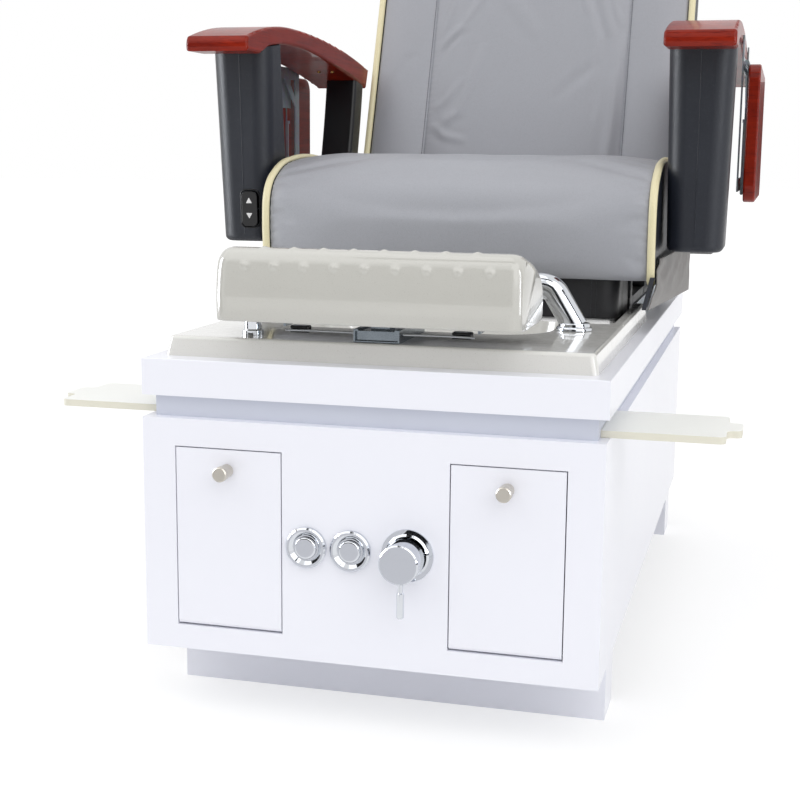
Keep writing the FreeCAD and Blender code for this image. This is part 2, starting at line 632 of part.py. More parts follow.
def make_buttons():
    bore = "button_dia/2 + button_clear"
    bezels = []
    switches = []
    for side in ("left", "right"):
        spot = ("button_%s_x" % side, "case_front", "control_z")
        bezels.append(turned("bezel_" + side, "XY_Plane", [
            (bore, "shank_long"), (bore, "bezel_dish - bezel_proud"),
            ("(%s) + bezel_lip" % bore, "bezel_dish - bezel_proud"),
            ("bezel_dia/2 - bezel_ring", "0 - bezel_proud"),
            ("bezel_dia/2 - bezel_lip", "0 - bezel_proud"),
            ("bezel_dia/2", "bezel_lip - bezel_proud"), ("bezel_dia/2", "0"),
            ("shank_dia/2", "0"), ("shank_dia/2", "shank_long")], *spot))
        button = turned("button_blank_" + side, "XY_Plane", [
            ("0", "0 - button_proud"), ("button_dia/2", "0 - button_proud"),
            ("button_dia/2", "bezel_proud"), ("button_stem_dia/2", "bezel_proud"),
            ("button_stem_dia/2", "shank_long + button_travel"),
            ("0", "shank_long + button_travel")], *spot)
        nose = val("0 - button_proud")
        soften(button, "button_dome", lambda e: abs(e.BoundBox.YMax - nose) < 1e-3)
        node(button, "button_" + side)
        socket = "shank_dia/2 + shank_clear"
        switches.append(turned("switch_" + side, "XY_Plane", [
            (socket, "board + seat_gap"), ("switch_body_dia/2", "board + seat_gap"),
            ("switch_body_dia/2", "board + switch_body_long"), ("0", "board + switch_body_long"),
            ("0", "board + switch_body_long - switch_wall"),
            ("button_stem_dia", "board + switch_body_long - switch_wall"),
            ("button_stem_dia", "shank_long + shank_clear"), (socket, "shank_long + shank_clear")],
            *spot))
    node(group("bezels", bezels), "button_bezels")
    node(group("switches", switches), "air_switches")


def make_mixer():
    spot = ("mixer_x", "case_front", "control_z")
    bore = "collar_dia/2 + pin_clear"
    node(turned("plate_blank", "XY_Plane", [
        (bore, "0"), ("plate_dia/2", "0"), ("plate_dia/2", "0 - plate_thick"),
        ("plate_step_dia/2", "0 - plate_thick"),
        ("plate_step_dia/2 - plate_step", "0 - plate_thick - plate_step"),
        (bore, "0 - plate_thick - plate_step")], *spot), "mixer_plate")

    cavity = "cap_dia/2 - cap_wall"
    neck = rod("collar_neck", "Y", "collar_dia", "board + cap_pivot + cap_pin_dia", "mixer_x",
               "case_front - cap_pivot - cap_pin_dia", "control_z")
    cross = rod("collar_pin", "X", "cap_pin_dia", "2*(%s + cap_bore_deep - pin_clear)" % cavity,
                "mixer_x - (%s) - cap_bore_deep + pin_clear" % cavity, "case_front - cap_pivot",
                "control_z")
    node(join("collar", [neck, cross]), "mixer_collar")

    blank = turned("cap_blank", "XY_Plane", [
        ("0", "0 - cap_front"), ("cap_dia/2 - cap_edge", "0 - cap_front"),
        ("cap_dia/2", "cap_edge - cap_front"), ("cap_dia/2", "0 - cap_back"),
        (cavity, "0 - cap_back"), (cavity, "3*cap_wall - cap_front"), ("0", "3*cap_wall - cap_front")],
        *spot)
    pin_bore = rod("cap_pin_bore", "X", "cap_pin_dia + 2*pin_clear", "2*(%s + cap_bore_deep)" % cavity,
                   "mixer_x - (%s) - cap_bore_deep" % cavity, "case_front - cap_pivot", "control_z")
    lever_y = "case_front - (cap_back + cap_front)/2 - cap_wall"
    socket_z = "control_z - cap_dia/2 + cap_wall/2"
    socket = rod("lever_socket", "Z", "lever_neck_dia", "cap_dia/4", "mixer_x", lever_y,
                 "(%s) - cap_dia/4" % socket_z)
    node(cut("cap", blank, [pin_bore, socket]), "mixer_cap")
    lever = turned("lever_blank", "XZ_Plane", [
        ("0", "0"), ("lever_neck_dia/2", "0"), ("lever_neck_dia/2", "0 - lever_neck_long"),
        ("lever_dia/2", "0 - lever_neck_long - cap_edge"), ("lever_dia/2", "cap_edge - lever_long"),
        ("lever_dia/2 - cap_edge", "0 - lever_long"), ("0", "0 - lever_long")],
        "mixer_x", lever_y, socket_z)
    node(lever, "mixer_lever")

    valve = rod("valve_barrel", "Y", "valve_dia", "valve_long", "mixer_x", "panel_rear + seat_gap",
                "control_z")
    parts = [valve]
    for number, sign in enumerate("-+"):
        parts.append(rod("supply_%d" % number, "Z", "pipe_dia", "control_z - supply_end",
                         "mixer_x %s pipe_spread/2" % sign, "panel_rear + valve_long/2", "supply_end"))
    parts.append(box("manifold", "mixer_x - pipe_spread/2 - pipe_dia/2 - bin_wall/2",
                     "mixer_x + pipe_spread/2 + pipe_dia/2 + bin_wall/2",
                     "panel_rear + valve_long/2 - pipe_dia", "panel_rear + valve_long/2 + pipe_dia",
                     "control_z - valve_dia", "control_z"))
    node(join("valve", parts), "mixer_valve")


# Basin, its drain, jet, spout and drain knob

def bowl_wire(share, grow, z):
    """Level outline of the bowl, from its floor (share 0) to its rim (share 1), grown outwards."""
    def mix(low, high):
        return val(low) + share*(val(high) - val(low))
    half_x = mix("bowl_floor_wide", "bowl_wide")/2 + grow
    half_y = mix("bowl_floor_long", "bowl_long")/2 + grow
    corner = mix("bowl_floor_corner", "bowl_corner") + grow
    middle = val("bowl_middle")
    return round_rectangle(-half_x, half_x, middle - half_y, middle + half_y, z, corner, corner)


def jet_frame():
    """Place on the bowl's sloping rear wall, its Z axis square to the wall and into the bowl."""
    lean = (val("bowl_long") - val("bowl_floor_long"))/2/val("bowl_deep - shell")
    rise = val("jet_rise")
    spot = vec(0, val("bowl_middle") + val("bowl_floor_long")/2 + rise*lean,
               val("bowl_bottom") + val("shell") + rise)
    inward = vec(0, -1, lean)
    return FreeCAD.Placement(spot, FreeCAD.Rotation(vec(0, 0, 1), inward))


def make_basin():
    x1 = val("basin_wide")/2
    y0 = val("front + basin_setback")
    y1 = y0 + val("basin_long")
    draft = val("rim_draft")
    wall = val("shell")
    low = val("slab_top")
    top = val("deck_top")
    floor = val("bowl_bottom")
    corner = val("basin_corner")
    foot = round_rectangle(-x1, x1, y0, y1, low, corner, corner)
    brow = round_rectangle(draft - x1, x1 - draft, y0 + draft, y1 - draft, top, corner, corner)
    rim = Part.makeLoft([foot, brow], True, True)
    edges = [e for e in rim.Edges if e.BoundBox.ZMin > top - 1e-3]
    rim = rim.makeFillet(val("rim_edge"), edges)
    well = val("front + well_setback")
    well_floor = val("well_floor")
    hollow_front = Part.makeBox(2*(x1 - draft - wall), well - y0 - draft - 2*wall, top - low - wall,
                                vec(draft + wall - x1, y0 + draft + wall, low))
    hollow_rear = Part.makeBox(2*(x1 - draft - wall), y1 - draft - wall - well, well_floor - low - wall,
                               vec(draft + wall - x1, well, low))
    bowl = Part.makeLoft([bowl_wire(0, wall, floor), bowl_wire(1, wall, top - wall)], True, True)
    reach = 1 + val("overrun")/val("bowl_deep - shell")
    inside = Part.makeLoft([bowl_wire(0, 0, floor + wall), bowl_wire(reach, 0, top + val("overrun"))],
                           True, True)
    lip = val("well_lip")
    sunk = Part.makeBox(2*(x1 - draft - lip), y1 - well + wall, top - well_floor + wall,
                        vec(draft + lip - x1, well, well_floor))
    shape = rim.cut(hollow_front).cut(hollow_rear).fuse(bowl).cut(inside).cut(sunk)
    drain = Part.makeCylinder(val("drain_dia")/2, 3*wall, vec(0, val("bowl_middle"), floor - wall))
    jet = jet_frame()
    neck = Part.makeCylinder(val("jet_neck_dia/2 + seat_gap"), 6*wall, vec(0, 0, -3*wall))
    neck.Placement = jet
    spigot = Part.makeCylinder(val("spout_spigot_dia/2 + pin_clear"), 4*wall,
                               vec(val("spout_x"), val("front + spout_setback"), top - 2*wall))
    shape = shape.cut(drain).cut(neck).cut(spigot).removeSplitter()
    node(feature("basin_shell", shape), "basin")

    parts = []
    for label, dia, back, ahead in (("face", "jet_dia", "seat_gap", "seat_gap + jet_thick"),
                                    ("neck", "jet_neck_dia", "0 - shell - overrun", "jet_thick"),
                                    ("motor", "jet_motor_dia", "0 - shell - jet_motor_long",
                                     "0 - shell - jet_gap")):
        stage = Part.makeCylinder(val(dia)/2, val(ahead) - val(back), vec(0, 0, val(back)))
        stage.Placement = jet
        parts.append(stage)
    node(feature("jet_unit", parts[0].fuse(parts[1:]).removeSplitter()), "jet")


def make_drain():
    inner = "drain_pipe_dia/2 - drain_pipe_wall"
    drain = turned("drain_blank", "XZ_Plane", [
        (inner, "0"), ("drain_pipe_dia/2", "0"), ("drain_pipe_dia/2", "bowl_bottom - drain_end - shell"),
        ("drain_flange_dia/2", "bowl_bottom - drain_end - shell"),
        ("drain_flange_dia/2", "bowl_bottom - drain_end - seat_gap"),
        ("drain_dia/2 - seat_gap", "bowl_bottom - drain_end - seat_gap"),
        ("drain_dia/2 - seat_gap", "bowl_bottom - drain_end + shell"),
        (inner, "bowl_bottom - drain_end + shell")], "0", "bowl_middle", "drain_end")
    node(drain, "drain_pipe")
    node(turned("stopper", "XZ_Plane", [
        ("0", "0 - stopper_stem_long"), ("stopper_stem_dia/2", "0 - stopper_stem_long"),
        ("stopper_stem_dia/2", "0"), ("stopper_dia/2", "0"),
        ("stopper_dia/2", "stopper_thick/2"), ("stopper_dia/4", "stopper_thick"),
        ("0", "stopper_thick")], "0", "bowl_middle", "bowl_bottom + shell + seat_gap"), "drain_stopper")
    node(turned("knob_turn", "XZ_Plane", [
        ("0", "0"), ("drain_knob_foot_dia/2", "0"),
        ("drain_knob_foot_dia/2", "drain_knob_high - drain_knob_grip - overrun"),
        ("drain_knob_dia/2", "drain_knob_high - drain_knob_grip"),
        ("drain_knob_dia/2", "drain_knob_high - knob_edge"),
        ("drain_knob_dia/2 - knob_edge", "drain_knob_high"), ("0", "drain_knob_high")],
        "drain_knob_x", "front + drain_knob_setback", "deck_top + seat_gap"), "drain_knob")


def make_spout():
    bore = "spout_spigot_dia/2 + pin_clear"
    spot_y = "front + spout_setback"
    node(turned("spout_collar", "XZ_Plane", [
        (bore, "0"), ("collar_foot_dia/2", "0"), ("collar_foot_dia/2", "overrun"),
        ("spout_dia/2", "collar_high"), (bore, "collar_high")], "spout_x", spot_y, "deck_top"),
        "spout_base")
    x = val("spout_x")
    y = val(spot_y)
    z = val("deck_top + collar_high + seat_gap")
    up = vec(0, 0, 1)
    outer = val("spout_dia")/2
    inner = val("spout_dia/2 - spout_wall")
    throat = val("spout_spigot_dia/2 - spout_wall")
    foot = val("spout_foot")
    spigot = val("spout_spigot_long")
    heart = vec(x - val("spout_bend"), y, z + foot)
    disc, core = [Part.Face(Part.Wire(Part.makeCircle(r, vec(x, y, z + foot), up)))
                  for r in (outer, inner)]
    bend = disc.revolve(heart, vec(0, -1, 0), val("spout_sweep"))
    bore = core.revolve(heart, vec(0, -1, 0), val("spout_sweep"))
    base = Part.makeCylinder(outer, foot, vec(x, y, z))
    tail = Part.makeCylinder(val("spout_spigot_dia")/2, spigot, vec(x, y, z - spigot))
    hollow = Part.makeCylinder(throat, foot + spigot + throat, vec(x, y, z - spigot))
    node(feature("spout_tube", bend.fuse([base, tail]).cut([bore, hollow])), "spout")


# Foot rest on its rail

END_SHARES = [(0.0, 1.0), (0.011, 0.42), (0.030, 0.11), (0.058, 0.0)]
REST_SHARES = [(0.012, 0.0), (0.0, 0.45, 0.03, 0.80), (0.085, 0.965, 0.22, 1.0),
               (0.52, 0.885, 0.80, 0.70), (0.955, 0.46, 0.985, 0.18), (0.972, 0.05, 0.93, 0.0)]


def make_rest():
    y0 = val("front + rest_setback")
    z0 = val("rest_bottom")
    deep = val("rest_deep")
    high = val("rest_high")
    half = val("rest_wide")/2
    wires = []
    for x, draw in stations(half, END_SHARES):
        scale = 1 - draw*val("rest_draw")
        wires.append(side_wire(share_steps(REST_SHARES, y0, z0, deep, high, y0 + deep/2, z0, scale), x))
    pad_shape = Part.makeLoft(wires, True, True)
    rod_y = val("rod_y")
    rod_z = val("rod_z")
    lug_half = val("lug_dia")/2
    thick = val("lug_thick")
    parts = []
    for side in (-1, 1):
        x = side*val("lug_spread")/2 - thick/2
        parts.append(Part.makeCylinder(lug_half, thick, vec(x, rod_y, rod_z), vec(1, 0, 0)))
        parts.append(Part.makeBox(thick, 2*lug_half, z0 - rod_z, vec(x, rod_y - lug_half, rod_z)))
    shape = pad_shape.fuse(parts)
    bore = Part.makeCylinder(val("rod_dia/2 + pin_clear"), 2*half, vec(-half, rod_y, rod_z), vec(1, 0, 0))
    node(feature("rest_pad", shape.cut(bore).removeSplitter()), "footrest")

    rail = body("rail_blank")
    plan = sketch(rail, "XZ_Plane")
    side = "rail_wide/2"
    points = [("0 - %s" % side, "0"), (side, "0"), (side, "rail_high"),
              (side + " - rail_lip", "rail_high"), (side + " - rail_lip", "rail_high - rail_wall"),
              (side + " - rail_wall", "rail_high - rail_wall"), (side + " - rail_wall", "rail_wall"),
              ("rail_wall - %s" % side, "rail_wall"), ("rail_wall - %s" % side, "rail_high - rail_wall"),
              ("rail_lip - %s" % side, "rail_high - rail_wall"), ("rail_lip - %s" % side, "rail_high"),
              ("0 - %s" % side, "rail_high")]
    outline(plan, points)
    pad(rail, plan, "rail_long", backwards=True)
    place(rail, "0", "front + rail_setback", "deck_top")
    node(rail, "footrest_rail")

    inner = "rail_wide/2 - rail_wall - carriage_clear"
    shoe = box("shoe", "0 - (%s)" % inner, inner, "rod_y - carriage_long/2", "rod_y + carriage_long/2",
               "deck_top + rail_wall + carriage_clear", "deck_top + rail_high - rail_wall - carriage_clear")
    neck = box("neck", "0 - carriage_neck/2", "carriage_neck/2", "rod_y - carriage_neck/2",
               "rod_y + carriage_neck/2", "deck_top + rail_wall + carriage_clear", "rod_z")
    bar = rod("rest_rod", "X", "rod_dia", "rod_long", "0 - rod_long/2", "rod_y", "rod_z")
    plates = []
    for number, first in enumerate(("0 - rod_long/2", "rod_long/2 - rod_bracket_thick")):
        plates.append(box("rod_plate_%d" % number, first, "%s + rod_bracket_thick" % first,
                          "rod_y - rod_bracket", "rod_y + rod_bracket",
                          "rod_z - rod_bracket/2", "rod_z + rod_dia/2"))
    node(join("carriage", [shoe, neck, bar] + plates), "footrest_carriage")


# Pull-out side shelves

def make_shelves():
    inner = "case_wide/2 - shelf_hold"
    outer = "slab_wide/2 + shelf_reach"
    tab = outer + " + shelf_tab"
    y0 = "front + shelf_setback"
    y1 = y0 + " + shelf_long"
    middle = y0 + " + shelf_long/2"
    shelf = body("shelf_blank")
    plan = sketch(shelf, "XY_Plane")
    outline(plan, [(inner, y0), (outer, y0), (outer, middle + " - shelf_tab_long/2"),
                   (tab, middle + " - shelf_tab_long/2"), (tab, middle + " + shelf_tab_long/2"),
                   (outer, middle + " + shelf_tab_long/2"), (outer, y1), (inner, y1)])
    pad(shelf, plan, "shelf_thick")
    limit = val(inner + " + board_gap")
    up = vec(0, 0, 1)
    soften(shelf, "shelf_tab/2 - seat_gap", lambda e: along(e, up) and e.CenterOfMass.x > limit)
    place(shelf, "0", "0", "case_top + seat_gap")
    node(shelf, "shelf_right")
    node(mirrored("shelf_mirror", shelf), "shelf_left")


# Chair base: rails on the slab, the sliding frame, the pan and the black skirt

def make_chair_base():
    tracks = []
    for number, sign in enumerate("-+"):
        track = body("track_%d" % number)
        plan = sketch(track, "XZ_Plane")
        side = "track_wide/2"
        groove = "runner_lift - seat_gap"
        outline(plan, [("0 - %s" % side, "0"), (side, "0"), (side, "track_high"),
                       (side + " - track_wall", "track_high"), (side + " - track_wall", groove),
                       ("track_wall - %s" % side, groove), ("track_wall - %s" % side, "track_high"),
                       ("0 - %s" % side, "track_high")])
        pad(track, plan, "track_long", backwards=True)
        place(track, "0 %s track_offset" % sign, "front + track_setback", "track_bottom")
        tracks.append(track)
    node(group("tracks", tracks), "seat_rails")

    parts = []
    bar_z = ("runner_top - cross_bar_high", "runner_top")
    for number, sign in enumerate("-+"):
        middle = "0 %s track_offset" % sign
        parts.append(box("runner_%d" % number, middle + " - runner_wide/2", middle + " + runner_wide/2",
                         "chair_front + runner_setback", "chair_front + runner_setback + runner_long",
                         "runner_bottom", "runner_top"))
        for end in ("0", "upright_pitch"):
            parts.append(box("upright_%d" % len(parts), middle + " - upright_wide/2",
                             middle + " + upright_wide/2", "chair_front + upright_setback + %s" % end,
                             "chair_front + upright_setback + %s + upright_wide" % end,
                             "runner_top - cross_bar_high", "pan_bottom - seat_gap"))
        ear_x = ("ear_offset", "ear_offset + ear_thick") if sign == "+" \
            else ("0 - ear_offset - ear_thick", "0 - ear_offset")
        parts.append(box("ear_%d" % number, *ear_x, "chair_front + ear_setback",
                         "chair_front + ear_setback + ear_long", bar_z[0], "ear_high"))
        parts.append(box("ear_foot_%d" % number, *ear_x, "chair_front + ear_setback",
                         "chair_front + cross_rear_setback + cross_bar", bar_z[0], "ear_foot_high"))
        shaft = "arm_inner + post_wide - ear_offset"
        start = "ear_offset" if sign == "+" else "0 - ear_offset - (%s)" % shaft
        parts.append(rod("arm_shaft_%d" % number, "X", "arm_pin_dia", shaft, start, "pivot_y",
                         "arm_pivot_high"))
        start = "ear_offset - back_pin_long" if sign == "+" else "0 - ear_offset"
        parts.append(rod("back_shaft_%d" % number, "X", "back_pin_dia", "back_pin_long", start,
                         "back_y", "back_pivot_high"))
    for label, first, half in (("front", "cross_front_setback", "track_offset + runner_wide/2"),
                               ("rear", "cross_rear_setback", "ear_offset")):
        parts.append(box("cross_" + label, "0 - (%s)" % half, half, "chair_front + " + first,
                         "chair_front + %s + cross_bar" % first, *bar_z))
    node(join("frame", parts), "seat_frame")

    wall = val("skirt_wall")
    x1 = val("skirt_wide")/2
    y0 = val("chair_front + skirt_setback")
    long = val("skirt_long")
    z0 = val("well_floor + skirt_clear")
    high = val("pan_bottom - skirt_top_gap") - z0
    corner = val("skirt_corner")
    outer = Part.Face(round_rectangle(-x1, x1, y0, y0 + 2*long, z0, corner, corner))
    inner = Part.Face(round_rectangle(wall - x1, x1 - wall, y0 + wall, y0 + 2*long - wall, z0,
                                      corner - wall, corner - wall))
    ring = outer.cut(inner).extrude(vec(0, 0, high))
    rear = Part.makeBox(2*x1, 2*long, high, vec(-x1, y0 + long, z0))
    node(feature("skirt", ring.cut(rear)), "seat_skirt")


# Seat cushion: side outline as shares of its length and height, from its front foot

SEAT_SHARES = [(0.016, -0.020), (0.0, 0.28, 0.002, 0.581), (0.020, 0.709, 0.074, 0.837),
               (0.146, 0.924, 0.228, 0.965), (0.40, 0.995, 0.62, 0.935), (0.82, 0.845, 0.965, 0.735),
               (0.997, 0.68, 1.0, 0.60), (0.996, 0.45, 0.984, 0.335), (0.905, 0.285), (0.861, 0.070),
               (0.0646, 0.070), (0.0646, -0.072), (0.050, -0.077), (0.028, -0.060, 0.016, -0.020)]


def seat_steps(draw):
    """Side outline of the seat, shrunk by a share of seat_draw about a spot on its pan."""
    z0 = val("seat_bottom")
    return share_steps(SEAT_SHARES, val("chair_front + seat_setback"), z0, val("seat_long"),
                       val("seat_high"), val("chair_front + seat_anchor"),
                       z0 + SEAT_SHARES[-4][1]*val("seat_high"), 1 - draw*val("seat_draw"))


def seat_room(x0, wide):
    """The space that the end of the cushion and its piping need, carried across from x0."""
    face = Part.Face(side_wire(seat_steps(1.0), x0)).makeOffset2D(2*val("welt_gap"))
    return face.extrude(vec(wide, 0, 0))


def make_seat():
    half = val("seat_wide")/2
    wires = [side_wire(seat_steps(draw), x) for x, draw in stations(half, END_SHARES)]
    node(feature("cushion", Part.makeLoft(wires, True, True)), "seat_cushion")

    thick = val("welt_thick")
    gap = val("welt_gap")
    wide = val("welt")
    foot_y = val("chair_front + cheek_foot_setback")
    foot_long = val("cheek_foot_long")
    foot_top = val("pan_top") + gap + thick + gap
    rings = []
    cheeks = []
    for side in (-1, 1):
        x0 = side*(half + gap) - (wide if side < 0 else 0)
        face = Part.Face(side_wire(seat_steps(1.0), x0))
        ring = face.cut(face.makeOffset2D(-thick)).extrude(vec(wide, 0, 0))
        slot = Part.makeBox(wide, foot_long + 2*gap, foot_top - val("seat_bottom"),
                            vec(x0, foot_y - gap, val("seat_bottom")))
        rings.append(ring.cut(slot))
        inset = x0 + 2*gap
        cheek = Part.Face(side_wire(seat_steps(1.0), inset)).makeOffset2D(-thick - gap)
        cheek = cheek.extrude(vec(wide - 3*gap, 0, 0))
        foot = Part.makeBox(wide - 3*gap, foot_long, foot_top + gap - val("pan_bottom"),
                            vec(inset, foot_y, val("pan_bottom")))
        cheeks += [cheek, foot, make_strip(side).cut(seat_room(x0 - wide, 3*wide))]
    node(feature("piping", Part.makeCompound(rings)), "seat_piping")
    span = half + gap + wide + gap
    pan = Part.makeBox(2*span, val("pan_long"), val("pan_thick"),
                       vec(-span, val("chair_front + pan_setback"), val("pan_bottom")))
    node(feature("pan", pan.fuse(cheeks).removeSplitter()), "seat_pan")


def make_strip(side):
    """Black horn that carries the pan's side edge down towards the basin."""
    low = val("strip_foot")
    top = val("seat_bottom")
    y0 = val("chair_front + strip_foot_setback")
    x0 = val("strip_foot_x")
    x1 = val("seat_wide")/2 + val("welt_gap + welt - strip_thick")
    thick = val("strip_thick")
    deep = val("strip_deep")
    lean = val("strip_lean")
    wires = []
    for x, y, z, run in ((x0, y0, low, deep), (x1, y0 + lean, top, 2*deep)):
        a, b = sorted((side*x, side*(x + thick)))
        wires.append(Part.makePolygon([vec(a, y, z), vec(b, y, z), vec(b, y + run, z),
                                       vec(a, y + run, z), vec(a, y, z)]))
    return Part.makeLoft(wires, True, True)


def make_side_covers():
    y0 = val("chair_front + cover_setback")
    y1 = y0 + val("cover_long")
    low = val("cover_bottom")
    drop = val("cover_drop")
    step = val("pan_bottom - seat_gap")
    top = val("cover_bottom + cover_high")
    edge = val("cover_edge")
    rear = val("cover_rear_x")
    foot_x = val("cover_foot_x")
    inner = val("seat_wide/2 + welt_gap + welt + 2*seat_gap")
    wall = val("seat_wide/2 + 2*welt_gap + welt + seat_gap")
    upper_y = val("chair_front + cover_top_setback")
    middle_y = (y0 + upper_y)/2 - edge

    def level(corners):
        return Part.makePolygon([vec(*c) for c in corners] + [vec(*corners[0])])

    lower = Part.makeLoft([
        level([(foot_x, y0, low), (foot_x + edge, y0, low), (rear - edge, y1, low - drop),
               (wall, y1, low - drop)]),
        level([(inner, middle_y, step), (wall + edge, middle_y, step), (rear, y1, step),
               (wall, y1, step)])], True, True)
    upper = Part.makeLoft([
        level([(wall, middle_y, step), (wall + edge, middle_y, step), (rear, y1, step),
               (wall, y1, step)]),
        level([(wall, upper_y, top), (wall + edge, upper_y, top), (rear + edge, y1, top),
               (wall, y1, top)])], True, True)
    welt = val("welt")
    right = lower.fuse(upper).cut(seat_room(val("seat_wide")/2 - welt, 3*welt)).removeSplitter()
    left = right.mirror(vec(0, 0, 0), vec(1, 0, 0))
    node(feature("covers", Part.makeCompound([left, right])), "side_covers")


# Back: drawn lying down, x across, y up the back, z towards the sitter, then stood up and leant

# Shares of the cushion's rounding: how far in, and how far below its face, at each level
CROWN_SHARES = ((0, 0.75), (0.375, 0.2), (1, 0))

# Shares of the shell's rounding: how far in, and how far above its rear, at each level
CURL_SHARES = ((1, 0), (0.32, 0.32), (0, 1))


def lean_back(shape, label, name):
    made = feature(label, shape)
    turn = FreeCAD.Rotation(vec(1, 0, 0), 90 - val("recline_angle"))
    made.Placement = FreeCAD.Placement(vec(0, val("back_y"), val("back_pivot_high")), turn)
    return node(made, name)


def back_outline(inset, z):
    half = val("back_wide")/2 - inset
    start = val("back_start")
    long = val("back_long")
    foot = max(val("back_foot_corner") - inset, val("seat_gap"))
    return round_rectangle(-half, half, start + inset, start + long - inset, z, foot,
                           val("back_corner") - inset)


def back_slots(gap):
    """Room for the two frame plates inside the back."""
    tools = []
    thick = val("back_plate_thick")
    wide = val("back_plate_wide")
    for side in (-1, 1):
        middle = side*(val("back_plate_x") + thick/2)
        tools.append(Part.makeBox(thick + 2*gap, val("back_plate_long"), wide + 2*gap,
                                  vec(middle - thick/2 - gap, gap, -wide/2 - gap)))
    return tools


def make_back():
    gap = val("welt_gap")
    welt = val("welt")
    face = val("back_face")
    base = face - val("back_cushion_thick")
    draw = val("back_draw")
    inset = welt + gap
    levels = [(inset, base + gap)] + [(inset + a*draw, face - b*draw) for a, b in CROWN_SHARES]
    cushion = Part.makeLoft([back_outline(i, z) for i, z in levels], True, True)
    start = val("back_start")
    long = val("back_long")
    for side in (-1, 1):
        wide = val("seam_wide")
        x = side*val("seam_offset")
        groove = Part.Face(Part.makePolygon([vec(x - wide/2, start, face + gap),
                                             vec(x, start, face - val("seam_deep")),
                                             vec(x + wide/2, start, face + gap),
                                             vec(x - wide/2, start, face + gap)]))
        cushion = cushion.cut(groove.extrude(vec(0, long, 0)))
    pillow_y = val("back_pillow_start")
    pillow_long = val("back_pillow_long")
    half = val("back_pillow_wide")/2
    sunk = face - val("seam_deep")
    bulge = side_wire([(pillow_y, sunk), (pillow_y + pillow_long/2, face + val("back_pillow_proud"),
                                          pillow_y + pillow_long, sunk)], -half)
    pillow = slice_solid(bulge, 2*half)
    tips = [e for e in pillow.Edges if e.BoundBox.XLength < NEAR and e.BoundBox.ZLength > gap]
    cushion = cushion.fuse(pillow.makeFillet(val("back_pillow_round"), tips)).cut(back_slots(gap))
    lean_back(cushion.removeSplitter(), "back_pad", "back_cushion")

    top = face - val("back_welt_set")
    outer = Part.Face(back_outline(0, base + gap))
    inner = Part.Face(back_outline(welt, base + gap))
    welt_band = outer.cut(inner).extrude(vec(0, 0, top - base - gap)).cut(back_slots(gap))
    lean_back(welt_band, "back_welt", "back_piping")

    rear = face - val("back_deep")
    curl = val("shell_round")
    levels = [(a*curl, rear + b*curl) for a, b in CURL_SHARES] + [(0, base)]
    shell = Part.makeLoft([back_outline(i, z) for i, z in levels], True, True)
    wall = val("shell_wall")
    hollow = Part.makeLoft([back_outline(i + wall, z + wall) for i, z in levels], True, True)
    shell = shell.cut(hollow)
    lean_back(shell.cut(back_slots(gap)).removeSplitter(), "back_hull", "back_shell")

    plates = []
    thick = val("back_plate_thick")
    wide = val("back_plate_wide")
    for side in (-1, 1):
        middle = side*(val("back_plate_x") + thick/2)
        plate = Part.makeBox(thick, val("back_plate_long"), wide, vec(middle - thick/2, 0, -wide/2))
        boss = Part.makeCylinder(wide/2, thick, vec(middle - thick/2, 0, 0), vec(1, 0, 0))
        bore = Part.makeCylinder(val("back_pin_dia/2 + pin_clear"), 3*thick,
                                 vec(middle - 1.5*thick, 0, 0), vec(1, 0, 0))
        plates.append(plate.fuse(boss).cut(bore).removeSplitter())
    rung = Part.makeBox(2*val("back_plate_x"), wide/2, thick,
                        vec(-val("back_plate_x"), val("back_start")/2 - thick, -thick/2))
    lean_back(plates[0].fuse([plates[1], rung]), "back_plates", "back_frame")


# Arms: wooden top, front column and rear post; the outline of the wood in shares of length and rise

ARM_SHARES = [(0.003, 0.355), (0.0, 0.50, 0.008, 0.645), (0.152, 0.895, 0.32, 0.995),
              (0.66, 0.868, 1.0, 0.474), (0.975, 0.013), (0.812, 0.237, 0.598, 0.474),
              (0.42, 0.618, 0.24, 0.618), (0.150, 0.525), (0.092, 0.355)]


def arm_solid(grow=0.0):
    y0 = val("chair_front + arm_setback")
    z0 = val("arm_low")
    steps = []
    for share in ARM_SHARES:
        pairs = zip(share[0::2], share[1::2])
        steps.append(tuple(c for a, b in pairs
                           for c in (y0 + a*val("arm_long"), z0 + b*val("arm_rise") - grow)))
    x0 = val("arm_inner")
    return slice_solid(side_wire(steps, x0 - grow), val("arm_wide") + 2*grow)


def make_arm_tops():
    solid = arm_solid()
    rims = [e for e in solid.Edges if e.BoundBox.XLength < NEAR]
    wood = solid.makeFillet(val("arm_round"), rims)
    right = feature("arm_wood", wood)
    node(right, "arm_top_right")
    node(mirrored("arm_wood_mirror", right), "arm_top_left")


def column_section(z, inset=0.0):
    low = val("column_foot_high")
    share = (z - low)/(val("column_top_high") - low)

    def mix(foot, top):
        return val(foot) + share*(val(top) - val(foot))
    x0 = mix("arm_inner + column_foot_shift", "arm_inner + seat_gap") + inset
    x1 = x0 + mix("column_foot_wide", "column_top_wide") - 2*inset
    y0 = mix("chair_front + column_foot_setback", "chair_front + column_top_setback") + inset
    y1 = y0 + mix("column_foot_deep", "column_top_deep") - 2*inset
    return round_rectangle(x0, x1, y0, y1, z, val("column_round"), val("column_rear_round"))


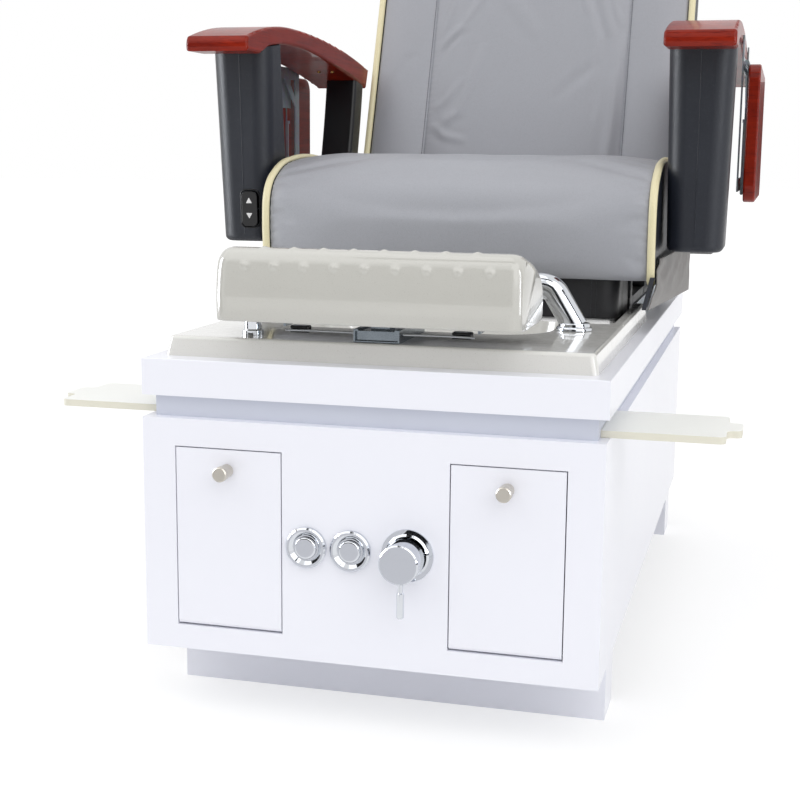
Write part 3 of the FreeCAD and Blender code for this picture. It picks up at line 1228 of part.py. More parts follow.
def make_columns():
    low = val("column_foot_high")
    top = val("column_top_high") + val("column_tongue")
    solid = Part.makeLoft([column_section(low), column_section(top)], True, True)
    foot = [e for e in solid.Edges if e.BoundBox.ZMax < low + 1]
    solid = solid.makeFillet(val("column_foot_round"), foot)
    gap = val("seat_gap")
    solid = solid.cut(arm_solid()).cut(arm_solid(gap))
    node(feature("column_blank", solid), "column_right")

    left = solid.mirror(vec(0, 0, 0), vec(1, 0, 0))
    spot = rocker_place()
    half_x = val("rocker_wide/2 + rocker_gap")
    half_z = val("rocker_high/2 + rocker_gap")
    deep = val("rocker_deep - rocker_proud + rocker_relief")
    pocket = Part.makeBox(2*half_x, 3*deep, 2*half_z, vec(-half_x, -2*deep, -half_z))
    upright = [e for e in pocket.Edges if e.BoundBox.YLength > deep]
    pocket = pocket.makeFillet(val("rocker_corner + rocker_gap"), upright)
    pin = Part.makeCylinder(val("rocker_pin_dia")/2, 2*half_x,
                            vec(-half_x, val("rocker_deep/2 - rocker_proud"), 0), vec(1, 0, 0))
    pocket.Placement = spot
    pin.Placement = spot.multiply(pin.Placement)
    node(feature("column_switch_side", left.cut(pocket).fuse(pin)), "column_left")


def rocker_place():
    """Frame on the left column's sloping front at the switch, y pointing into the column."""
    low = val("column_foot_high")
    share = (val("rocker_z") - low)/(val("column_top_high") - low)
    y_low = val("chair_front + column_foot_setback")
    y_top = val("chair_front + column_top_setback")
    slope = math.degrees(math.atan2(y_low - y_top, val("column_top_high") - low))
    spot = vec(-val("rocker_x"), y_low + share*(y_top - y_low), val("rocker_z"))
    return FreeCAD.Placement(spot, FreeCAD.Rotation(vec(1, 0, 0), slope))


def make_rocker():
    wide = val("rocker_wide")
    high = val("rocker_high")
    proud = val("rocker_proud")
    block = Part.makeBox(wide, val("rocker_deep"), high, vec(-wide/2, -proud, -high/2))
    long_edges = [e for e in block.Edges if e.BoundBox.YLength > proud]
    block = block.makeFillet(val("rocker_corner"), long_edges)
    rim = [e for e in block.Edges if e.BoundBox.YMax < -proud + 1e-3]
    block = block.makeFillet(val("rocker_gap"), rim)
    bore = Part.makeCylinder(val("rocker_pin_dia/2 + pin_clear"), 2*wide,
                             vec(-wide, val("rocker_deep/2 - rocker_proud"), 0), vec(1, 0, 0))
    made = feature("rocker", block.cut(bore))
    made.Placement = rocker_place()
    node(made, "switch_rocker")


def make_posts():
    y0 = val("pivot_y + post_top_lean")
    deep = val("post_deep")
    waist_y = val("pivot_y + post_waist_lean")
    waist_z = val("post_waist_high")
    top = val("post_top_high")
    boss = val("post_boss")
    pivot_y = val("pivot_y")
    pivot_z = val("arm_pivot_high")
    bow = val("post_bow")
    middle_y = (y0 + waist_y)/2
    middle_z = (top + waist_z)/2
    steps = [(y0, top), (middle_y + bow, middle_z + bow, waist_y, waist_z), (pivot_y - boss, pivot_z),
             (pivot_y, pivot_z - boss, pivot_y + boss, pivot_z), (waist_y + deep, waist_z),
             (middle_y + deep + bow, middle_z + bow, y0 + deep, top)]
    x0 = val("arm_inner + seat_gap")
    solid = slice_solid(side_wire(steps, x0), val("post_wide"))
    rims = [e for e in solid.Edges if e.BoundBox.XLength < 1e-3 and e.BoundBox.ZMin < top - 1]
    solid = solid.makeFillet(val("post_round"), rims)
    bore = Part.makeCylinder(val("arm_pin_dia/2 + pin_clear"), 2*val("post_wide"),
                             vec(x0 - boss, pivot_y, pivot_z), vec(1, 0, 0))
    gap = val("seat_gap")
    solid = solid.cut([arm_solid(), arm_solid(gap), bore])
    solid = max(solid.Solids, key=lambda s: s.Volume)
    right = feature("post_blank", solid)
    node(right, "post_right")
    node(mirrored("post_mirror", right), "post_left")


# Folding side trays on their steel brackets

def axis_rod(label, dia, y0, y1):
    return rod(label, "Y", dia, "(%s) - (%s)" % (y1, y0), "tray_axis_x", y0, "tray_axis_z")


def make_trays():
    y0 = "chair_front + tray_setback"
    tray = body("tray_blank")
    plan = sketch(tray, "YZ_Plane")
    rectangle(plan, y0, y0 + " + tray_long", "tray_top_high - tray_high", "tray_top_high")
    pad(tray, plan, "tray_thick")
    across = vec(1, 0, 0)
    soften(tray, "tray_round", lambda e: along(e, across))
    soften(tray, "tray_edge", lambda e: e.BoundBox.XLength < 1e-3)
    place(tray, "tray_x", "0", "0")
    node(tray, "tray_right")
    node(mirrored("tray_mirror", tray), "tray_left")

    first = "chair_front + bracket_setback"
    inner = "arm_outer + seat_gap"
    outer = inner + " + bracket_thick"
    low = "tray_axis_z - bracket_low"
    high = "tray_axis_z + bracket_rise"
    parts = []
    for number, start in enumerate((first, first + " + bracket_long")):
        stop = start + " + knuckle_long"
        parts.append(box("strap_%d" % number, inner, outer, start, stop, low, high))
        parts.append(axis_rod("bracket_knuckle_%d" % number, "knuckle_dia", start, stop))
        parts.append(box("bracket_web_%d" % number, inner, "tray_axis_x", start, stop,
                         "tray_axis_z - bracket_thick/2", "tray_axis_z + bracket_thick/2"))
    last = first + " + bracket_long + knuckle_long"
    parts.append(box("bracket_low_bar", inner, outer, first, last, low, low + " + bracket_bar"))
    parts.append(box("bracket_mid_bar", inner, outer, first, last, "tray_axis_z - bracket_bar/2",
                     "tray_axis_z + bracket_bar/2"))
    parts.append(axis_rod("tray_hinge_rod", "tray_pin_dia", first, last))
    gusset_y = val(first + " + bracket_long")
    top = val("tray_axis_z")
    reach = val("gusset_long")
    drop = val("gusset_drop")
    bar = val("bracket_bar")
    x = val(inner)
    wire = Part.makePolygon([vec(x, gusset_y - reach, top), vec(x, gusset_y - reach + bar, top),
                             vec(x, gusset_y + bar, top - drop), vec(x, gusset_y, top - drop),
                             vec(x, gusset_y - reach, top)])
    parts.append(feature("gusset", slice_solid(wire, val("bracket_thick"))))
    bracket = join("bracket", parts)
    node(bracket, "tray_bracket_right")
    node(mirrored("bracket_mirror", bracket), "tray_bracket_left")

    leaf_in = "tray_x - seat_gap - leaf_thick"
    leaf_out = "tray_x - seat_gap"
    start = first + " + knuckle_long + knuckle_gap"
    stop = first + " + bracket_long - knuckle_gap"
    parts = [box("leaf_plate", leaf_in, leaf_out, start, stop, "tray_axis_z - leaf_high", "tray_axis_z")]
    stays = []
    pivot_z = "tray_axis_z - stay_pivot"
    for number, (edge, sign) in enumerate(((start, "+"), (stop, "-"))):
        tip = "%s %s knuckle_long" % (edge, sign)
        a, b = (edge, tip) if sign == "+" else (tip, edge)
        parts.append(axis_rod("leaf_knuckle_%d" % number, "knuckle_dia", a, b))
        inside = "%s %s (knuckle_long - ear_plate)" % (edge, sign)
        a, b = (inside, tip) if sign == "+" else (tip, inside)
        parts.append(box("leaf_strip_%d" % number, leaf_in, leaf_out, a, b,
                         pivot_z + " - ear_plate", "tray_axis_z - leaf_high/2"))
        parts.append(box("leaf_ear_%d" % number, leaf_out + " - ear_reach", leaf_out, a, b,
                         pivot_z + " - ear_plate", pivot_z + " + ear_plate"))
        near = tip + " + stay_gap" if sign == "+" else tip + " - stay_gap - stay_thick"
        pin = tip if sign == "+" else tip + " - stay_gap - stay_thick"
        parts.append(rod("stay_pin_%d" % number, "Y", "stay_pin_dia", "stay_gap + stay_thick",
                         "tray_axis_x", pin, pivot_z))
        bar = join("stay_bar_%d" % number, [
            box("stay_flat_%d" % number, "tray_axis_x - stay_width/2", "tray_axis_x + stay_width/2",
                near, near + " + stay_thick", pivot_z + " - stay_long", pivot_z),
            rod("stay_eye_%d" % number, "Y", "stay_width", "stay_thick", "tray_axis_x", near, pivot_z),
            rod("stay_toe_%d" % number, "Y", "stay_width", "stay_thick", "tray_axis_x", near,
                pivot_z + " - stay_long")])
        eye = rod("stay_bore_%d" % number, "Y", "stay_pin_dia + 2*pin_clear", "3*stay_thick",
                  "tray_axis_x", near + " - stay_thick", pivot_z)
        stays.append(cut("stay_cut_%d" % number, bar, [eye]))
    bore = axis_rod("leaf_bore", "tray_pin_dia + 2*pin_clear", first, last)
    leaf = cut("leaf", join("leaf_blank", parts), [bore])
    node(leaf, "tray_leaf_right")
    node(mirrored("leaf_mirror", leaf), "tray_leaf_left")
    pair = group("stay_pair", stays)
    node(pair, "tray_stay_right")
    node(mirrored("stay_mirror", pair), "tray_stay_left")


for make in (make_plinths, make_cabinet_front, make_cabinet_shell, make_band, make_slab, make_doors,
             make_buttons, make_mixer, make_basin, make_drain, make_spout, make_rest, make_shelves,
             make_chair_base, make_seat, make_side_covers, make_back, make_arm_tops, make_columns,
             make_rocker, make_posts, make_trays):
    make()
doc.recompute()

# Each piece is checked before its file is written
troubled = [o.Label for o in doc.Objects if {"Invalid", "Error"} & set(o.State)]
for label, made in NODES.items():
    if made.Shape.isNull() or not made.Shape.isValid() or not made.Shape.Solids:
        troubled.append(label)
if troubled:
    raise ValueError("unsound: " + ", ".join(troubled))

os.makedirs("parts", exist_ok=True)
for label, made in NODES.items():
    made.Shape.exportStep("parts/%s.step" % label)
    box_now = made.Shape.BoundBox
    print("%-20s %2d solids  x %7.1f %7.1f  y %7.1f %7.1f  z %7.1f %7.1f" % (
        label, len(made.Shape.Solids), box_now.XMin, box_now.XMax, box_now.YMin, box_now.YMax,
        box_now.ZMin, box_now.ZMax))
print(len(NODES), "pieces")
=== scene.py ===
# %% [markdown]
# # A pedicure bench
# The bench is a white boxed cabinet with a foot basin in its top, and a grey padded chair that
# slides and reclines behind it. The hard parts come from a fixed frame of solids, which this
# script loads, and the soft parts are made here. Everything is in metres, with the front at -Y.

import json
import math

import bmesh
import bpy
import numpy as np
from mathutils import Matrix, Vector


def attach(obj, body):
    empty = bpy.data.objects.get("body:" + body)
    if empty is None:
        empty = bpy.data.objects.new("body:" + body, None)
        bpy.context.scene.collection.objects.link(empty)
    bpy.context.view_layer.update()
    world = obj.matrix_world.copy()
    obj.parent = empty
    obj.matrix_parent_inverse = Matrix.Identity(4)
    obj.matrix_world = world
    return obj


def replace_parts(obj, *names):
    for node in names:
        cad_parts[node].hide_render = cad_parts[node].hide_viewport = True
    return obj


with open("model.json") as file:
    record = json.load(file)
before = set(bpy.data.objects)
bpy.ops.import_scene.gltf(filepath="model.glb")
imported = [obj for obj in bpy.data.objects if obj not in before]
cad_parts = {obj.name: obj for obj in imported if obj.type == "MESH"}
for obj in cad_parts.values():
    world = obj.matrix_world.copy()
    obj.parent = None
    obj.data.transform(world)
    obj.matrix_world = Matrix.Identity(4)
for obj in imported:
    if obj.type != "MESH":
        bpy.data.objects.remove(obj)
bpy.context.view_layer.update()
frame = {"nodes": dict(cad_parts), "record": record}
print("nodes in the frame:", len(frame["nodes"]))

# %% [markdown]
# ## The camera
# The camera stands where the photographer stood: in front of the bench, a little to its right,
# about 70 cm above the floor and looking slightly down. These angles were solved from the
# straight edges of the cabinet, so the render and the photograph line up.


# %% Camera
def put(name, data):
    """A new object in the scene that shows a mesh, a lamp or a camera."""
    made = bpy.data.objects.new(name, data)
    bpy.context.scene.collection.objects.link(made)
    return made


YAW = math.radians(14.95)
PITCH = math.radians(9.87)
ROLL = math.radians(0.53)
EYE = Vector((0.468, -2.1842, 0.7037))

ahead = Vector((-math.sin(YAW) * math.cos(PITCH), math.cos(YAW) * math.cos(PITCH), -math.sin(PITCH)))
level = Vector((math.cos(YAW), math.sin(YAW), 0.0))
above = level.cross(ahead)
right = math.cos(ROLL) * level + math.sin(ROLL) * above
up = -math.sin(ROLL) * level + math.cos(ROLL) * above

camera = put("camera", bpy.data.cameras.new("camera"))
camera.matrix_world = Matrix.Translation(EYE) @ Matrix((right, up, -ahead)).transposed().to_4x4()
camera.data.lens = 63.7
camera.data.sensor_width = 36.0
camera.data.clip_start = 0.05
camera.data.clip_end = 200.0
bpy.context.scene.camera = camera
bpy.context.scene.view_settings.view_transform = "Standard"
print("camera at", tuple(round(a, 3) for a in EYE))

# %% [markdown]
# ## Node helpers
# Light, floor and finishes are all networks of small nodes. They could be wired by hand one link
# at a time. Here a socket is given either its value or the node that feeds it, so each network
# below reads as a short list. Light Path tells what kind of ray asks for a colour.


# %% Node helpers
def feed(node, values):
    """Sets sockets by name or number: each to a constant, or linked from a pair (node, output)."""
    for socket, value in values.items():
        if isinstance(value, tuple) and isinstance(value[0], bpy.types.Node):
            node.id_data.links.new(value[0].outputs[value[1]], node.inputs[socket])
        else:
            node.inputs[socket].default_value = value


def add(tree, kind, values=None, **settings):
    """Adds a node, sets its options from settings, and then feeds its sockets."""
    node = tree.nodes.new("ShaderNode" + kind)
    for option, value in settings.items():
        setattr(node, option, value)
    feed(node, values or {})
    return node


def seen_directly(tree):
    """A node that gives one to rays from the camera, gloss and glass, and nought to the rest."""
    rays = add(tree, "LightPath")
    first = add(tree, "Math", {0: (rays, "Is Camera Ray"), 1: (rays, "Is Glossy Ray")},
                operation="MAXIMUM")
    return add(tree, "Math", {0: (first, 0), 1: (rays, "Is Transmission Ray")}, operation="MAXIMUM")


# %% [markdown]
# ## Light
# A white studio lights a product from everywhere at once, with one side a little stronger. A pale
# world does the first and two very wide suns do the second, because a sun lights the whole floor
# evenly. The camera, gloss and glass see the world as plain white.

# %% World and suns
AMBIENT = 0.70

world = bpy.data.worlds.new("studio")
bpy.context.scene.world = world
world.use_nodes = True
air = world.node_tree
air.nodes.clear()
strength = add(air, "MapRange", {"Value": (seen_directly(air), 0), "To Min": AMBIENT, "To Max": 1.0})
sky = add(air, "Background", {"Color": (1.0, 1.0, 1.0, 1.0), "Strength": (strength, "Result")})
add(air, "OutputWorld", {"Surface": (sky, "Background")})


def sun(name, energy, towards, width):
    """A sun of the given angular width in degrees, shining along the vector towards."""
    lamp = put(name, bpy.data.lights.new(name, "SUN"))
    lamp.data.energy = energy
    lamp.data.angle = math.radians(width)
    lamp.rotation_mode = "QUATERNION"
    lamp.rotation_quaternion = Vector(towards).to_track_quat("-Z", "Y")


sun("key_sun", energy=0.88, towards=(-0.55, 0.55, -0.63), width=60.0)
sun("top_sun", energy=0.70, towards=(0.45, 0.15, -0.88), width=70.0)
print("ambient light:", AMBIENT)

# %% [markdown]
# ## Cards
# Chrome in a white room looks like paper, so photographers stand dark cards just outside the
# picture for it to mirror, and bright strips for a sharp highlight. Real cards would also shade
# the bench. These are seen by glossy rays alone, so they change nothing else.


# %% Cards
def flat_sheet(name, middle, wide, high, paper):
    """A sheet with four corners: middle plus and minus wide, plus and minus high."""
    middle, wide, high = (np.array(v, float) for v in (middle, wide, high))
    corners = [middle - wide - high, middle + wide - high, middle + wide + high, middle - wide + high]
    mesh = bpy.data.meshes.new(name)
    mesh.from_pydata([tuple(c) for c in corners], [], [(0, 1, 2, 3)])
    mesh.materials.append(paper)
    return put(name, mesh)


def card(name, middle, wide, high, paper):
    """A flat sheet beside the set that only glossy rays see."""
    sheet = flat_sheet(name, middle, wide, high, paper)
    for ray in ("camera", "diffuse", "transmission", "shadow"):
        setattr(sheet, "visible_" + ray, False)


def new_material(name, sockets):
    """A material and its shader, with the given sockets set."""
    material = bpy.data.materials.new(name)
    material.use_nodes = True
    shader = material.node_tree.nodes["Principled BSDF"]
    feed(shader, sockets)
    return material, shader


def card_paper(name, shade, glow):
    """A plain grey paper without gloss that may also glow."""
    return new_material(name, {"Base Color": (shade, shade, 1.04 * shade, 1), "Specular IOR Level": 0.0,
                               "Emission Color": (0.93, 0.96, 1.0, 1), "Emission Strength": glow})[0]


BLACK_CARD = card_paper("black_card", shade=0.03, glow=0.0)
GREY_CARD = card_paper("grey_card", shade=0.72, glow=0.0)
LIGHT_CARD = card_paper("light_card", shade=0.8, glow=12.0)
card("card_floor", (-0.60, -1.85, 0.002), (0.75, 0, 0), (0, 0.65, 0), GREY_CARD)
card("card_left", (-1.8, -1.5, 0.9), (0, 0.45, 0), (0, 0, 0.9), BLACK_CARD)
card("card_right", (1.9, -0.9, 0.9), (0, 0.35, 0), (0, 0, 0.9), BLACK_CARD)
card("card_behind", (-0.6, -3.4, 1.3), (1.7, 0, 0), (0, 0, 1.0), BLACK_CARD)
card("card_above", (0.2, -1.2, 2.8), (0.9, 0, 0), (0, 0.25, 0), BLACK_CARD)
card("card_rear", (0.75, 2.8, 0.755), (0.85, 0, 0), (0, 0, 0.195), BLACK_CARD)
card("card_floor_rear", (-1.05, 1.75, 0.002), (1.15, 0, 0), (0, 1.2, 0), BLACK_CARD)
card("strip_left", (-1.72, -0.70, 0.85), (0, 0.32, 0), (0, 0, 0.6), LIGHT_CARD)
card("strip_right", (1.80, -1.10, 0.85), (0, 0.10, 0), (0, 0, 0.6), LIGHT_CARD)
print("papers:", BLACK_CARD.name, GREY_CARD.name, LIGHT_CARD.name)

# %% [markdown]
# ## Floor
# The bench stands on a white studio floor that fades into the white behind it. A wall and a curve
# could be built, but one plain sheet is enough: it glows a little for the camera, so it reaches
# white and still keeps the soft shadow of the bench.

# %% Floor
FLOOR_REACH = 30.0

floor_paint, floor_shader = new_material("pale_floor", {
    "Roughness": 0.9, "Specular IOR Level": 0.0, "Emission Color": (1.0, 1.0, 1.0, 1.0)})
tree = floor_paint.node_tree
direct = (seen_directly(tree), 0)
albedo = (add(tree, "MapRange", {"Value": direct, "To Min": 0.86, "To Max": 0.50}), "Result")
glow = add(tree, "MapRange", {"Value": direct, "To Min": 0.0, "To Max": 0.56})
grey = add(tree, "CombineColor", {"Red": albedo, "Green": albedo, "Blue": albedo})
feed(floor_shader, {"Base Color": (grey, "Color"), "Emission Strength": (glow, "Result")})
flat_sheet("floor", (0, 0, 0), (FLOOR_REACH, 0, 0), (0, FLOOR_REACH, 0), floor_paint)
print("floor:", 2 * FLOOR_REACH, "m square")

# %% [markdown]
# ## Shared effects
# Real surfaces are never one flat colour. These groups hold the effects that several finishes
# share: a slow drift of tone, handling marks that change the gloss, leather grain, moulded grain,
# brush lines and wood figure. A group is built once and placed in each material with its own
# values, and it puts out only colours, heights and masks.


# %% Group helper
def linear(code):
    """The linear colour of a web colour code such as C4C8D2."""
    parts = np.array([int(code[i:i + 2], 16) / 255 for i in (0, 2, 4)])
    parts = np.where(parts <= 0.04045, parts / 12.92, ((parts + 0.055) / 1.055) ** 2.4)
    return (*[float(p) for p in parts], 1.0)


def shader_group(name, outputs, **inputs):
    """A group with a Vector and named inputs; returns its tree, its ends and its Vector."""
    tree = bpy.data.node_groups.new(name, "ShaderNodeTree")
    new_socket = tree.interface.new_socket
    new_socket("Vector", in_out="INPUT", socket_type="NodeSocketVector")
    for label, value in inputs.items():
        kind = "NodeSocketColor" if isinstance(value, tuple) else "NodeSocketFloat"
        new_socket(label, in_out="INPUT", socket_type=kind).default_value = value
    for label in outputs:
        kind = "NodeSocketColor" if label == "Color" else "NodeSocketFloat"
        new_socket(label, in_out="OUTPUT", socket_type=kind)
    into, out = tree.nodes.new("NodeGroupInput"), tree.nodes.new("NodeGroupOutput")
    return tree, into, out, (into, "Vector")


def noise(tree, vector, **values):
    """A noise texture read at a vector."""
    return add(tree, "TexNoise", {"Vector": vector, **values})


def ranged(tree, source, low, high, **options):
    """A map from low and high to nought and one, cut off outside."""
    return add(tree, "MapRange", {"Value": source, "From Min": low, "From Max": high}, clamp=True,
               **options)


def math_of(tree, operation, *values):
    """A Math node with its sockets in order; each is a number or a pair (node, output)."""
    return add(tree, "Math", dict(enumerate(values)), operation=operation)


# %% Tone drift and handling marks
def make_tone_drift():
    """Colour times one plus amount times a centred noise."""
    tree, into, out, vector = shader_group("tone_drift", ["Color"], Color=(1, 1, 1, 1), Amount=0.03,
                                           Scale=6.0)
    cloud = noise(tree, vector, Scale=(into, "Scale"), Detail=4.0, Roughness=0.6)
    span = add(tree, "MapRange", {"Value": (cloud, "Fac"), "To Min": -1.0, "To Max": 1.0})
    times = math_of(tree, "MULTIPLY_ADD", (span, "Result"), (into, "Amount"), 1.0)
    scaled = add(tree, "VectorMath", {0: (into, "Color"), "Scale": (times, 0)}, operation="SCALE")
    feed(out, {"Color": (scaled, 0)})
    return tree


def make_handling():
    """Base gloss plus amount where two noises of different size agree."""
    tree, into, out, vector = shader_group("handling_marks", ["Roughness", "Mask"], Base=0.3,
                                           Amount=0.1, Scale=14.0)
    broad = noise(tree, vector, Scale=(into, "Scale"), Detail=3.0)
    fine = noise(tree, vector, Scale=90.0, Detail=6.0, Roughness=0.7)
    agree = math_of(tree, "MULTIPLY", (broad, "Fac"), (fine, "Fac"))
    mask = ranged(tree, (agree, 0), 0.18, 0.36)
    total = math_of(tree, "MULTIPLY_ADD", (mask, "Result"), (into, "Amount"), (into, "Base"))
    feed(out, {"Roughness": (total, 0), "Mask": (mask, "Result")})
    return tree


TONE = make_tone_drift()
HANDLING = make_handling()
print("groups:", TONE.name, HANDLING.name)


# %% Leather and moulded grain
def make_leather_grain():
    """Cells about 1/Scale wide, warped by noise: high in the middle, low along their borders."""
    tree, into, out, vector = shader_group("leather_grain", ["Height", "Crease"], Scale=700.0)
    warp = noise(tree, vector, Scale=160.0, Detail=2.0)
    shift = add(tree, "VectorMath", {0: (warp, "Color"), 1: (0.004, 0.004, 0.004), 2: vector},
                operation="MULTIPLY_ADD")
    cells = add(tree, "TexVoronoi", {"Vector": (shift, 0), "Scale": (into, "Scale")},
                feature="DISTANCE_TO_EDGE")
    pebble = add(tree, "MapRange", {"Value": (cells, "Distance"), "From Max": 0.18}, clamp=True,
                 interpolation_type="SMOOTHSTEP")
    pores = noise(tree, vector, Scale=2600.0, Detail=2.0)
    mix = math_of(tree, "MULTIPLY_ADD", (pores, "Fac"), 0.25, (pebble, "Result"))
    # This crease mask is used to paint shade into the grain's low borders.
    crease = math_of(tree, "SUBTRACT", 1.0, (pebble, "Result"))
    feed(out, {"Height": (mix, 0), "Crease": (crease, 0)})
    return tree


def make_moulded_grain():
    """Fine noise pushed towards its ends, like the etched texture of a mould."""
    tree, into, out, vector = shader_group("moulded_grain", ["Height", "Fleck_And_Glint"], Scale=1400.0)
    etch = (noise(tree, vector, Scale=(into, "Scale"), Detail=3.0, Roughness=0.6), "Fac")
    # The top of this noise gives real dark flecks in acrylic, and paler painted glints on moulded plastic.
    feed(out, {"Height": (ranged(tree, etch, 0.35, 0.65), "Result"),
               "Fleck_And_Glint": (ranged(tree, etch, 0.60, 0.72), "Result")})
    return tree


LEATHER = make_leather_grain()
MOULDED = make_moulded_grain()
print("groups:", LEATHER.name, MOULDED.name)


# %% Wood figure and brush lines
def make_wood_figure():
    """Bands from a stretched noise, mixed from a light to a dark tone, with fine pores along."""
    tree, into, out, vector = shader_group("wood_figure", ["Color", "Height"],
                                           Light=(0.4, 0.1, 0.05, 1), Dark=(0.2, 0.03, 0.02, 1))
    bands = noise(tree, vector, Scale=70.0, Detail=5.0, Roughness=0.65, Distortion=0.6)
    pores = noise(tree, vector, Scale=240.0, Detail=2.0)
    spread = ranged(tree, (bands, "Fac"), 0.22, 0.80)
    pore_mask = (ranged(tree, (pores, "Fac"), 0.56, 0.70), "Result")
    tone = math_of(tree, "MULTIPLY_ADD", pore_mask, 0.35, (spread, "Result"))
    blend = add(tree, "MixRGB", {"Fac": (tone, 0), "Color1": (into, "Light"), "Color2": (into, "Dark")})
    feed(out, {"Color": (blend, "Color"), "Height": pore_mask})
    return tree


def make_brush_lines():
    """Noise on stretched coordinates: long thin streaks."""
    tree, into, out, vector = shader_group("brush_lines", ["Height"], Scale=900.0)
    streak = noise(tree, vector, Scale=(into, "Scale"), Detail=2.0, Roughness=0.5)
    feed(out, {"Height": (streak, "Fac")})
    return tree


WOOD = make_wood_figure()
BRUSH = make_brush_lines()
print("groups:", WOOD.name, BRUSH.name)

# %% [markdown]
# ## Finishes
# One material for each finish of the bench. Each starts from a Principled shader whose constant
# values are set on its own sockets, and the shared groups then vary its colour, gloss and bump.
# Patterns follow the piece itself, so they don't slide when it moves.


# %% Finish helper
class Finish:
    """A material with a tone that drifts over the piece and a gloss marked by handling."""

    def __init__(self, name, colour, drift, size, gloss, marks, sockets, stretch=(1, 1, 1)):
        """Places the two shared effects and joins them to the shader."""
        self.material, self.shader = new_material(name, sockets)
        self.tree = self.material.node_tree
        self.plain = (add(self.tree, "TexCoord"), "Object")
        self.stretched = (self.add("Mapping", {"Vector": self.plain, "Scale": stretch}), "Vector")
        tone = self.use(TONE, {"Color": linear(colour), "Amount": drift, "Scale": size})
        mark = self.use(HANDLING, {"Base": gloss, "Amount": marks})
        self.tone = (tone, "Color")
        feed(self.shader, {"Base Color": self.tone, "Roughness": (mark, "Roughness")})

    def add(self, kind, values, **settings):
        """Adds a node to this material."""
        return add(self.tree, kind, values, **settings)

    def use(self, group, values, vector=None):
        """Places a shared effect with its own values, read at the plain vector or another."""
        node = add(self.tree, "Group", node_tree=group)
        feed(node, {"Vector": vector or self.plain, **values})
        return node

    def blend(self, values, **settings):
        """Mixes the drifting tone with a second colour and gives the result to the shader."""
        mixed = self.add("MixRGB", {"Color1": self.tone, **values}, **settings)
        feed(self.shader, {"Base Color": (mixed, "Color")})

    def bumped(self, height, depth, strength):
        """Feeds a height into the shader's normal, depth in metres, and returns the material."""
        bump = self.add("Bump", {"Height": height, "Strength": strength, "Distance": depth})
        feed(self.shader, {"Normal": (bump, "Normal")})
        return self.material


# %% [markdown]
# ## Boards, acrylic and shelves
# The cabinet is board with a white gloss laminate, the basin is cast acrylic and the side shelves
# are frosted acrylic. Plain white would look like paper, so the laminate has a faint orange peel
# under a clear coat, the acrylic has flecks, and the shelf is creamier at its cut edges.


# %% Boards, acrylic and shelves
def make_cabinet_white():
    """White gloss laminate: cool white, faint orange peel."""
    made = Finish("white_laminate", "F1F2FA", 0.008, 3.0, 0.30, 0.06,
                  {"Coat Weight": 0.25, "Coat Roughness": 0.15})
    peel = noise(made.tree, made.plain, Scale=90.0, Detail=1.0)
    return made.bumped((peel, "Fac"), 0.00004, 0.25)


def make_band_blue():
    """Satin blue-grey band of the recess, with faint lines along its length."""
    made = Finish("blue_grey_band", "CFD3DF", 0.02, 5.0, 0.42, 0.08, {"Coat Weight": 0.1},
                  (4.0, 4.0, 300.0))
    lines = made.use(BRUSH, {"Scale": 3.0}, made.stretched)
    return made.bumped((lines, "Height"), 0.00005, 0.4)


def make_acrylic(name, colour):
    """Cast acrylic: gloss coat over a body with tiny dark flecks and a slow ripple."""
    made = Finish(name, colour, 0.025, 9.0, 0.13, 0.10,
                  {"Coat Weight": 0.7, "Coat Roughness": 0.04, "IOR": 1.49})
    fleck = made.use(MOULDED, {"Scale": 900.0})
    made.blend({"Fac": (fleck, "Fleck_And_Glint"), "Color2": (0.82, 0.82, 0.80, 1.0)}, blend_type="MULTIPLY")
    ripple = noise(made.tree, made.plain, Scale=26.0, Detail=1.0)
    return made.bumped((ripple, "Fac"), 0.0006, 0.25)


def make_frosted():
    """Frosted acrylic shelf: greenish white faces, creamier where the face isn't level."""
    made = Finish("frosted_acrylic", "FAFBF7", 0.015, 12.0, 0.42, 0.15,
                  {"Coat Weight": 0.15, "Coat Roughness": 0.3, "Transmission Weight": 0.06})
    shape = made.add("NewGeometry", {})
    split = made.add("SeparateXYZ", {"Vector": (shape, "Normal")})
    flat = math_of(made.tree, "ABSOLUTE", (split, "Z"))
    edge = ranged(made.tree, (flat, 0), 0.75, 0.35)
    made.blend({"Fac": (edge, "Result"), "Color2": linear("E9E6D6")})
    frost = made.use(MOULDED, {"Scale": 1800.0})
    return made.bumped((frost, "Height"), 0.00004, 0.5)


# %% [markdown]
# ## Metals
# The tap, the buttons and the foot rest's slide are plated or brushed, and the chair's frame is
# powder-coated steel. Metal shows its surroundings rather than a colour of its own, so these
# differ mainly in gloss and in brush lines: noise stretched along one axis.


# %% Metals
def make_metal(name, colour, gloss, marks, size, depth, stretch=(1, 1, 1), drift=0.02):
    """Bare or plated metal: a tinted mirror with brush lines of the given depth."""
    made = Finish(name, colour, drift, 20.0, gloss, marks, {"Metallic": 1.0}, stretch)
    lines = made.use(BRUSH, {"Scale": size}, made.stretched)
    return made.bumped((lines, "Height"), depth, 0.6)


def make_zinc():
    """Zinc-plated steel: spangled patches of slightly different tone and gloss."""
    made = Finish("zinc_plate", "A3ACB5", 0.05, 30.0, 0.30, 0.14, {"Metallic": 0.6})
    spangle = made.add("TexVoronoi", {"Vector": made.plain, "Scale": 130.0})
    made.blend({"Fac": 0.16, "Color2": (spangle, "Color")}, blend_type="MULTIPLY")
    return made.bumped((spangle, "Distance"), 0.00006, 0.3)


def make_painted_steel():
    """Dark powder-coated steel with a fine pebble."""
    made = Finish("powder_coat", "3B3D40", 0.05, 20.0, 0.42, 0.14, {})
    pebble = made.use(MOULDED, {"Scale": 900.0})
    return made.bumped((pebble, "Height"), 0.00012, 0.5)


# %% [markdown]
# ## Leatherette, plastic and wood
# The cushions are coated cloth with a pebbled grain, the columns are moulded plastic with an
# etched skin, and the arm tops are stained wood under lacquer. Photographs of these could be
# wrapped round the pieces. Nodes keep them sharp at any distance and need no unwrapping.


